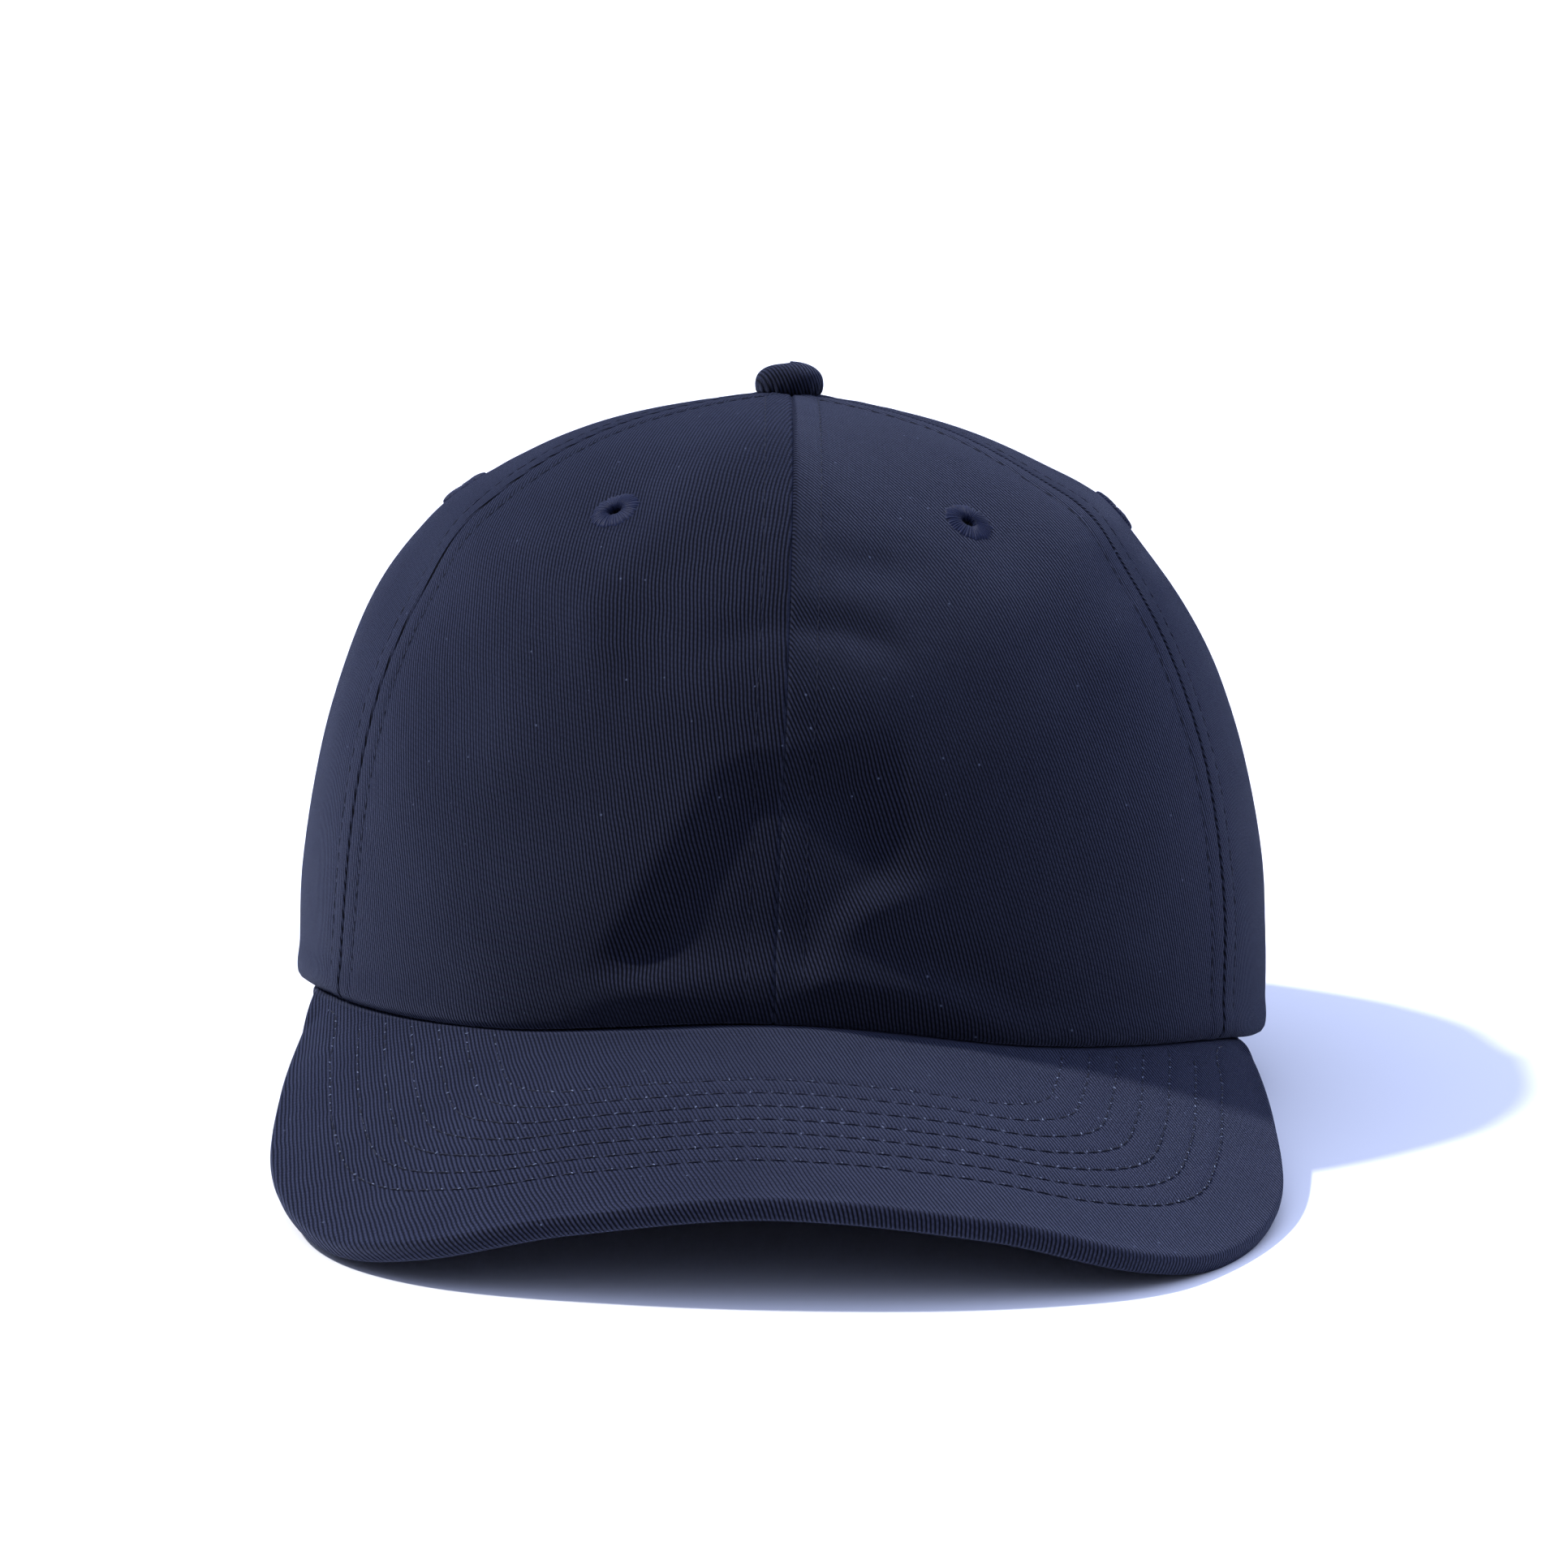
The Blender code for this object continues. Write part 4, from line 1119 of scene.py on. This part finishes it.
def needle_lint(name, lines, pitch, size, seed):
    """Tiny tufts of pale lint pulled up at the needle holes."""
    rng = np.random.default_rng(seed)
    paths, normals, radii = [], [], []
    for points, outward in lines:
        run = arc_lengths(points)
        count = int(run[-1] / pitch)
        for k in range(count):
            if rng.uniform() < 0.12:
                continue
            at = (k + rng.normal(0, 0.04)) * run[-1] / count
            spot, normal = along_line(points, run, at), unit(along_line(outward, run, at))
            tilt = unit(rng.normal(0, 1, 3)) * size * rng.uniform(0.7, 1.9)
            tilt = tilt - normal * (tilt @ normal) * 0.7
            bend = unit(rng.normal(0, 1, 3)) * size * 0.4
            shares = np.linspace(-1, 1, 4)[:, None]
            paths.append(spot + normal * size * 0.75 + tilt * shares + bend * (1 - shares**2))
            normals.append(np.repeat(normal[None], 4, 0))
            radii.append(size * rng.uniform(0.35, 0.7) * np.array([0.5, 1.0, 1.0, 0.5]))
    verts, faces = tubes(np.array(paths), np.array(normals), np.array(radii), 5)
    make_object(name, verts, faces, fray_thread)


needle_lint("visor_needle_lint", visor_row_lines(0.0), 3.45 * MM, 0.18 * MM, 17)


def visor_under():
    """The under cover, flat against the board, with the same sewn rows."""
    inset, thick = 1.15, 0.75
    depth = EDGE_DROP / MM - thick
    grid, radii, depths = visor_grid([(inset, depth + 0.25), (inset + 0.5, depth)], depth * MM)
    smooth = visor_spot(grid, radii)
    normal = visor_normal(grid, radii)
    channel = 0.18 * MM * hump(row_distance(smooth) / MM, 0, 0.75)
    outer = smooth - normal * depths[..., None]
    inner = smooth - normal * (depths + thick * MM - channel)[..., None]
    weave = visor_weave(smooth)
    shell("visor_under_cloth", outer, inner, visor_twill, weave, replaced=["visor_cover_under"])
    stitches("visor_understitching", visor_row_lines(EDGE_DROP - 0.12 * MM, -1), VISOR_STITCH, seed=8)


visor_under()


# ---------------------------------------------------------------- inside: tapes, sweatband, label

tape_weave = tape_material("tape_weave", (0.020, 0.024, 0.046), 1.6 * MM)
band_twill = twill_material("band_twill", (0.020, 0.024, 0.047), 45.0, 0.55 * MM, 0.10 * MM)


def strip(node, outer, inner, look, slot="cotton_tape", body="cap"):
    """A woven strip in a CAD node's place, with weave coordinates along and across it."""
    middle = (outer + inner) / 2
    along = arc_lengths(middle, 0).mean(1, keepdims=True) + 0 * middle[..., 0]
    across = arc_lengths(middle, 1)
    uv = np.stack([across - across[:, -1:] / 2, along], -1)
    shell(node + "_cloth", outer, inner, look, uv, body=body, replaced=[node], slot=slot)


TAPE_DEPTH = 1.6 * MM
TAPE = 0.6 * MM
TAPE_HALF_WIDTH = 7 * MM
TAPE_SHARES = np.array([-1, -0.96, -0.85, -0.71, -0.55, -0.3, 0, 0.3, 0.55, 0.71, 0.85, 0.96, 1])


def tape_faces(angle, rises):
    """Outer and inner faces of a seam tape: soft edges, pulled in a little along its sewn lines."""
    spread = np.degrees(np.arcsin(TAPE_HALF_WIDTH / (radius_at_rise(float(angle), rises) - TAPE_DEPTH)))
    angles = angle + spread[:, None] * TAPE_SHARES[None]
    outer, inner = (crown(angles, rises[:, None], depth) for depth in (TAPE_DEPTH, TAPE_DEPTH + TAPE))
    sewn = hump(np.abs(TAPE_SHARES), 0.71, 0.07) * 0.14 * MM
    ridge = hump(TAPE_SHARES, 0, 0.25) * 0.25 * MM
    return outer, inner - unit(outer - inner) * (ridge - sewn)[None, :, None]


def tape_stitch_lines(angle, rises):
    lines = []
    for side in (-1, 1):
        at = angle + np.degrees(5.0 * MM / (radius_at_rise(float(angle), rises) - TAPE_DEPTH)) * side
        spots = crown(at, rises, TAPE_DEPTH + TAPE - 0.12 * MM)
        lines.append((spots, -dome_normal(at, rises)))
    return lines


def inside_tapes():
    """Four tapes on the side seams, and one from the front over the top to the arch."""
    lines = []
    for name, angle in (("front_right", 60), ("rear_right", 120), ("rear_left", 240), ("front_left", 300)):
        rises = seam_rises(angle, rim_height(float(angle)) + 2 * MM, 15 * MM, 90)
        outer, inner = tape_faces(angle, rises)
        strip("seam_tape_" + name, outer, inner, tape_weave)
        lines += tape_stitch_lines(angle, rises[2:-2])
    halves = []
    for angle, foot in ((0, float(rim_height(0.0)) + 2 * MM), (180, ARCH_HEIGHT + 9.8 * MM)):
        rises = seam_rises(angle, foot, 13 * MM, 80)
        outer, inner = tape_faces(angle, rises)
        if angle == 180:
            outer, inner = outer[::-1, ::-1], inner[::-1, ::-1]
        halves.append((outer, inner))
        lines += tape_stitch_lines(angle, rises[2:])
    over = np.linspace(-11, 11, 12) * MM
    x, y = np.meshgrid(TAPE_SHARES * TAPE_HALF_WIDTH, over)
    angles = np.degrees(np.arctan2(x, -y))
    rises = rise_at_radius(angles, np.hypot(x, y))
    top = dome(angles, rises)
    top[..., 0], top[..., 1] = x - 0.5 * MM, y
    drop = np.array([0, 0, 1.0])
    outer = np.concatenate([halves[0][0], top - drop * TAPE_DEPTH, halves[1][0]])
    inner = np.concatenate([halves[0][1], top - drop * (TAPE_DEPTH + TAPE), halves[1][1]])
    strip("seam_tape_centre", outer, inner, tape_weave)
    stitches("tape_stitching", lines, TAPE_STITCH, seed=5, slot="cotton_tape")


inside_tapes()


def back_spot(x, height, depth):
    """A place on the back of the crown from its sideways distance and height."""
    rise = rise_at_height(180.0, height)
    angle = 180 - np.degrees(np.arcsin(np.clip(x / radius_at_rise(180.0, rise), -1, 1)))
    return crown(angle, rise, depth), angle, rise


def arch_lines(width, count, foot):
    """Sideways distances and heights along a line round the arch, a width outside its edge."""
    low = math.asin(min(foot / (ARCH_HEIGHT + width), 1))
    turn = np.linspace(low, math.pi - low, count)
    return (ARCH_HALF_WIDTH + width) * np.cos(turn), (ARCH_HEIGHT + width) * np.sin(turn)


def arch_facing():
    """The tape round the arch, sewn with two lines that show on both sides."""
    widths = (0.3, 0.7, 1.3, 2.5, 4.0, 5.5, 6.6, 7.4, 8.3, 8.8)
    spots = [arch_lines(width * MM, 130, 24 * MM) for width in widths]
    outer, inner = (
        np.stack([back_spot(x, height, depth)[0] for x, height in spots], 1)
        for depth in (TAPE_DEPTH, TAPE_DEPTH + TAPE)
    )
    strip("arch_tape", outer, inner, tape_weave)
    lines = []
    for width, depth, side in ((1.6, 0.02, 1), (7.4, 0.02, 1), (1.6, 2.1, -1), (7.4, 2.1, -1)):
        x, height = arch_lines(width * MM, 400, 5 * MM if side == 1 else 25 * MM)
        spots, angle, rise = back_spot(x, height, depth * MM)
        lines.append((spots, dome_normal(angle, rise) * side))
    stitches("arch_stitching", lines, TAPE_STITCH, seed=6)


arch_facing()


def wall(angles, low, high, depth, rows, wave=0.0, seed=1):
    """A grid on an upright wall inside the crown's lower edge."""
    shares = np.linspace(0, 1, rows)
    spot = direction(angles) * (base_radius(angles) - depth)[:, None]
    grid = np.repeat(spot[None], rows, 0)
    grid[..., 2] = low[None] + (high - low)[None] * shares[:, None]
    grid[..., 0] += sway(angles[None], grid[..., 2])
    # In front it stands clear of the hollow in the crown.
    clear = 2.6 * MM * step(75, 50, from_front(angles))
    ripple = wave * (0.5 + 0.5 * soft_noise(np.radians(angles)[None] * 14, shares[:, None] * 2.0, seed, 2))
    inward = clear[None] * shares[:, None] + ripple * shares[:, None] ** 2
    return grid - direction(angles)[None] * inward[..., None]


def sweatband():
    """The band inside the edge. In front it reaches below the crown, where the visor is sewn in."""
    angles = np.linspace(-148.5, 148.5, 360)
    behind = smooth_line(((0, 0.0), (66, 0.0), (88, 1.0), (180, 1.0)), np.abs(angles))[:, 0]
    low = rim_height(angles) - 3.8 * MM * (1 - behind) + 0.8 * MM * behind
    high = np.full(angles.shape, 32 * MM) + 0.3 * MM * np.sin(np.radians(angles) * 9)
    rows = 22

    def layer(depth):
        return wall(angles, low, high, depth * MM, rows, 1.1 * MM, 31)

    roll = hump(np.linspace(0, 1, rows), 0.97, 0.05)[:, None] * 0.25 * MM
    strip("sweatband", layer(5.2), layer(6.3) - direction(angles)[None] * roll[..., None], band_twill)
    lines = []
    for share, depth in ((0.07, 6.34), (0.90, 6.36)):
        k, part = divmod(share * (rows - 1), 1)
        line = layer(depth)[int(k)] * (1 - part) + layer(depth)[int(k) + 1] * part
        lines.append((line[3:-3], -direction(angles[3:-3])))
    stitches("sweatband_stitching", lines, BAND_STITCH, seed=9, slot="cotton_tape")


sweatband()


def care_label():
    """A blank satin label, sewn in at its top and curling a little below."""
    angles = np.linspace(128, 139, 26)
    low, high = np.full(26, 7 * MM), np.full(26, 30 * MM)
    curl = 0.5 * MM * (np.linspace(-1, 1, 26) ** 4)[None] * np.linspace(1, 0.1, 40)[:, None] ** 2
    outer = wall(angles, low, high, 7.5 * MM, 40) - direction(angles)[None] * curl[..., None]
    inner = outer - direction(angles)[None] * 0.35 * MM
    strip("care_label", outer, inner, satin_material("label_satin_weave"), "label_satin")
    line = outer[-3] - direction(angles) * 0.37 * MM
    stitches("label_stitching", [(line, -direction(angles))], LABEL_STITCH, seed=3, slot="cotton_tape")


care_label()


# ---------------------------------------------------------------- strap and buckle

strap_twill = twill_material("strap_twill", NAVY, 40.0)


def around_axis(angles, radius, heights):
    """A grid round the cap's vertical axis. Angles are from the back, positive towards the wearer's right."""
    radius = np.broadcast_to(radius, len(heights))
    spot = direction(180 + np.asarray(angles, float))[None] * radius[:, None, None]
    spot[..., 2] = heights[:, None]
    return spot


def level_line(spots):
    """A line of places with normals that point straight away from the cap's axis."""
    return spots, unit(spots * np.array([1, 1, 0]))


def strap():
    """The strap: two layers of twill, sewn along both edges and twice across its free end."""
    angles = np.linspace(-37, 62, 220)
    low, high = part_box("strap")[0].z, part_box("strap")[1].z
    heights = np.linspace(low, high, 26)
    inset = np.minimum(heights - low, high - heights) / MM
    edge = hump(inset, 0, 0.5) * 0.25 * MM
    sewn = hump(inset, 1.8, 0.6) * 0.10 * MM
    outer = around_axis(angles, 86.5 * MM - edge - sewn, heights)
    inner = around_axis(angles, 85.3 * MM + edge, heights)
    strip("strap", outer, inner, strap_twill, "cotton_twill", "strap")
    lines = [
        level_line(around_axis(angles, 86.42 * MM, np.array([height]))[0])
        for height in (low + 1.8 * MM, high - 1.8 * MM)
    ]
    upright = np.linspace(low + 2 * MM, high - 2 * MM, 30)
    lines += [level_line(around_axis([back_angle], 86.45 * MM, upright)[:, 0]) for back_angle in (60.5, 54.5)]
    stitches("strap_stitching", lines, STRAP_STITCH, seed=12, body="strap")


strap()

brass = brass_material("worn_brass")
BUCKLE_TURN = math.radians(15)
BUCKLE_LOW, BUCKLE_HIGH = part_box("buckle_frame")[0].z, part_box("buckle_frame")[1].z


def block(low, high, bevel=0.0, segments=3):
    """A box between two corners in mm, its edges rounded."""
    bm = bmesh.new()
    low, high = (Vector([v * MM for v in corner]) for corner in (low, high))
    middle = Matrix.Translation((low + high) / 2) @ Matrix.Diagonal((*(high - low), 1))
    bmesh.ops.create_cube(bm, size=1, matrix=middle)
    if bevel:
        how = {"offset": bevel * MM, "segments": segments, "affect": "EDGES", "profile": 0.5}
        bmesh.ops.bevel(bm, geom=bm.edges[:], **how)
    return bm


def rod(x, y, radius, low, high, steps=32):
    """An upright rod, in mm."""
    bm = bmesh.new()
    at = Matrix.Translation((x * MM, y * MM, (low + high) / 2 * MM))
    size = {"radius1": radius * MM, "radius2": radius * MM, "depth": (high - low) * MM}
    bmesh.ops.create_cone(bm, cap_ends=True, segments=steps, matrix=at, **size)
    return bm


def solid(bm):
    mesh = bpy.data.meshes.new("solid")
    bm.to_mesh(mesh)
    bm.free()
    return place_in_scene("solid", mesh)


def metal_piece(obj, node, place, body="cap"):
    """Finishes a brass piece: its name, place, material, body and the CAD node it stands for."""
    obj.name = obj.data.name = node + "_metal"
    obj.data.transform(place)
    obj.data.materials.clear()
    obj.data.materials.append(brass)
    obj.data.shade_smooth()
    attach(obj, body)
    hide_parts(node)


def buckle_piece(node, first, steps=(), body="cap", rounding=0.0):
    """One metal piece made by adding and cutting solids, with its edges rounded in mm."""
    obj = solid(first)
    for operation, bm in steps:
        combine(obj, solid(bm), operation)
    if rounding:
        edges = obj.modifiers.new("edges", "BEVEL")
        edges.width, edges.segments = rounding * MM, 2
        edges.limit_method, edges.angle_limit = "ANGLE", math.radians(40)
        bpy.context.view_layer.objects.active = obj
        bpy.ops.object.modifier_apply(modifier=edges.name)
    metal_piece(obj, node, Matrix.Rotation(BUCKLE_TURN, 4, "Z"), body)
    obj.data.set_sharp_from_angle(angle=math.radians(38))


def buckle():
    """A folded frame with a bar at one end, and a flat lever with a cam on a pin at the other."""
    low, high = BUCKLE_LOW / MM, BUCKLE_HIGH / MM
    left, right, bar, pin, line = -11.5, 9, -9.5, 7, 88.4
    steps = [
        ("UNION", block((left, 83.3, low), (right, 90.1, low + 2), 0.55, 4)),
        ("UNION", block((left, 83.3, high - 2), (right, 90.1, high), 0.55, 4)),
        ("UNION", rod(bar, line, 0.8, low + 1, high - 1)),
        ("DIFFERENCE", rod(pin, line, 0.8, low - 5, high + 5)),
    ]
    buckle_piece("buckle_frame", block((left, 83.2, low), (right, 84.1, high), 0.2, 2), steps)
    buckle_piece("buckle_pin", rod(pin, line, 0.7, low + 0.3, high - 0.3), rounding=0.15)

    foot, top = low + 2.4, high - 2.4
    steps = [
        ("UNION", block((pin - 13.5, line + 0.1, foot), (pin, line + 1.5, top))),
        ("UNION", block((pin - 14, line + 0.6, foot), (pin - 12.5, line + 2.6, top))),
        ("UNION", block((pin - 4.2, line - 1.7, foot), (pin - 1.8, line + 0.8, top))),
        ("DIFFERENCE", block((pin - 11.3, line + 1.25, foot + 2), (pin - 2.6, line + 3, top - 2))),
        ("DIFFERENCE", rod(pin, line, 0.8, low - 5, high + 5)),
    ]
    buckle_piece("buckle_lever", rod(pin, line, 1.6, foot, top, 40), steps, "buckle_lever", 0.22)


buckle()


def buckle_tab():
    """The cloth tab sewn under the panel and looped round the buckle's bar."""
    low, high = BUCKLE_LOW + 2.4 * MM, BUCKLE_HIGH - 2.4 * MM
    bar = math.degrees(BUCKLE_TURN + math.atan2(9.5, 88.4))
    angles = np.linspace(36, bar + 1.4, 60)
    spine = direction(180 + angles)[:, :2] * 87.2 * MM
    centre = direction(180 + bar)[:2] * math.hypot(9.5, 88.4) * MM
    out, along = direction(180 + bar)[:2], direction(180 + bar - 90)[:2]
    along = along * np.sign((spine[-1] - spine[0]) @ along)
    turn = np.radians(np.linspace(-78, 205, 40))
    loop = centre + 1.55 * MM * (np.cos(turn)[:, None] * along + np.sin(turn)[:, None] * out)
    line = np.concatenate([spine, loop[2:]])
    line = np.stack([line[:, 0], line[:, 1], 0 * line[:, 0]], -1)
    facing = unit(np.cross(np.gradient(line, axis=0), [0, 0, 1.0]))
    if facing[0] @ np.append(direction(216)[:2], 0) < 0:
        facing = -facing
    heights = np.linspace(low, high, 20)
    edge = hump(np.minimum(heights - low, high - heights) / MM, 0, 0.5) * 0.1 * MM
    outer, inner = (line[None] + facing[None] * side * (0.28 * MM - edge)[:, None, None] for side in (1, -1))
    outer[..., 2] = inner[..., 2] = heights[:, None]
    strip("buckle_tab", outer, inner, strap_twill, "cotton_twill")
    upright = np.linspace(low + MM, high - MM, 24)
    lines = [level_line(around_axis([bar + past], 87.46 * MM, upright)[:, 0]) for past in (2.6, 4.4)]
    stitches("tab_stitching", lines, TAB_STITCH, seed=14)


buckle_tab()


def button_metal():
    """The brass cap under the button's cloth, with its post, in one turned piece."""
    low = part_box("button_shell")[0].z
    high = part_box("button_cover")[0].z
    bm = bmesh.new()
    turn = np.linspace(0, np.pi / 2, 12)
    line = [(0.0, low), (1.55, low), (1.6, low + 0.3 * MM)]
    line += [(1.6, high - 0.5 * MM), (4.4, high - 0.5 * MM), (5.0, high + 0.2 * MM)]
    foot, radius, rise = high + 1.0 * MM, 5.1, 3.1 * MM
    for t in turn:
        line.append((radius * math.cos(t) ** BUTTON_POWER, foot + rise * math.sin(t) ** BUTTON_POWER))
    places = [bm.verts.new((r * MM, 0, z)) for r, z in line]
    edges = [bm.edges.new(pair) for pair in zip(places, places[1:])]
    bmesh.ops.spin(bm, geom=places + edges, axis=(0, 0, 1), cent=(0, 0, 0), steps=56, angle=2 * math.pi)
    bmesh.ops.remove_doubles(bm, verts=bm.verts[:], dist=0.01 * MM)
    bmesh.ops.recalc_face_normals(bm, faces=bm.faces[:])
    metal_piece(solid(bm), "button_shell", Matrix.Translation((BUTTON_SHIFT, 0, 0)))


button_metal()
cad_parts["button_back"].data.materials.clear()
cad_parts["button_back"].data.materials.append(brass)


# ---------------------------------------------------------------- floor, light and camera

# Floor: (y, z) under the back of the rim and under the visor's corners, and its sideways tilt.
FLOOR_BACK = (0.090, -0.0004)
FLOOR_FRONT = (-0.137, -0.0268)
FLOOR_ROLL = 1.5
FLOOR_REACH = 60.0


def floor():
    """The pale floor, clear from below. The cap stands on its visor's corners and its rim's back."""
    slope = (FLOOR_BACK[1] - FLOOR_FRONT[1]) / (FLOOR_BACK[0] - FLOOR_FRONT[0])
    tilt = math.tan(math.radians(FLOOR_ROLL))
    mesh = bpy.data.meshes.new("floor")
    corners = [(x * FLOOR_REACH, y * FLOOR_REACH) for x, y in ((-1, -1), (1, -1), (1, 1), (-1, 1))]
    places = [(x, y, FLOOR_FRONT[1] + slope * (y - FLOOR_FRONT[0]) + tilt * x) for x, y in corners]
    mesh.from_pydata(places, [], [(0, 1, 2, 3)])
    n = Nodes("pale_floor")
    n.surface(Base_Color=(0.86, 0.865, 0.88, 1), Roughness=0.9, Specular_IOR_Level=0.1)
    clear = n.add("ShaderNodeBsdfTransparent")
    side = n.add("ShaderNodeNewGeometry")
    mix = n.add("ShaderNodeMixShader", Fac=side.outputs["Backfacing"])
    n.put(mix.inputs[1], n.shader.outputs[0])
    n.put(mix.inputs[2], clear.outputs[0])
    n.put(n.tree.nodes["Material Output"].inputs[0], mix.outputs[0])
    mesh.materials.append(n.material)
    place_in_scene("floor", mesh)


# The sun's height, and how far behind the cap's left-to-right line it stands, in degrees.
SUN_HEIGHT, SUN_BEHIND = 50.5, -9.0


def lights():
    """A soft sun from the wearer's right under a pale blue sky."""
    sun = bpy.data.lights.new("key", "SUN")
    sun.energy = 3.6
    sun.color = (1.0, 0.985, 0.96)
    sun.angle = math.radians(3.5)
    lamp = place_in_scene("key", sun)
    high, behind = math.radians(SUN_HEIGHT), math.radians(SUN_BEHIND)
    level = math.cos(high)
    rays = Vector((level * math.cos(behind), -level * math.sin(behind), -math.sin(high)))
    lamp.rotation_euler = rays.to_track_quat("-Z", "Y").to_euler()
    lamp.location = -rays

    world = bpy.data.worlds.new("studio")
    world.use_nodes = True
    bpy.context.scene.world = world
    tree = world.node_tree
    where = tree.nodes.new("ShaderNodeTexCoord")
    split = tree.nodes.new("ShaderNodeSeparateXYZ")
    tree.links.new(where.outputs["Generated"], split.inputs[0])
    sky = tree.nodes.new("ShaderNodeValToRGB")
    tree.links.new(split.outputs["Z"], sky.inputs[0])
    sky.color_ramp.elements.new(0.35)
    shades = ((0.0, (0.12, 0.13, 0.20)), (0.35, (0.42, 0.47, 0.70)), (1.0, (1.20, 1.38, 2.05)))
    for element, (place, colour) in zip(sky.color_ramp.elements, shades):
        element.position = place
        element.color = (*colour, 1)
    tree.links.new(sky.outputs[0], tree.nodes["Background"].inputs[0])


def camera():
    """At the front, a little above the visor, turned slightly."""
    distance, rise, turn, roll = 1.2, math.radians(4.90), math.radians(0.954), math.radians(1.977)
    aim_right, aim_up = 0.68 * MM, 42.80 * MM
    away = Vector((0, math.cos(rise), -math.sin(rise)))
    up = Vector((0, math.sin(rise), math.cos(rise)))
    right = Vector((1, 0, 0))
    place = right * aim_right + up * aim_up - away * distance
    rolled_right = right * math.cos(roll) + up * math.sin(roll)
    rolled_up = up * math.cos(roll) - right * math.sin(roll)
    spin = Matrix.Rotation(-turn, 3, "Z")
    axes = Matrix((spin @ rolled_right, spin @ rolled_up, spin @ -away)).transposed()
    data = bpy.data.cameras.new("camera")
    data.lens = 147.4
    data.sensor_width = 36
    cam = place_in_scene("camera", data)
    cam.matrix_world = Matrix.Translation(spin @ place) @ axes.to_4x4()
    bpy.context.scene.camera = cam


floor()
lights()
camera()
bpy.context.scene.view_settings.view_transform = "Standard"
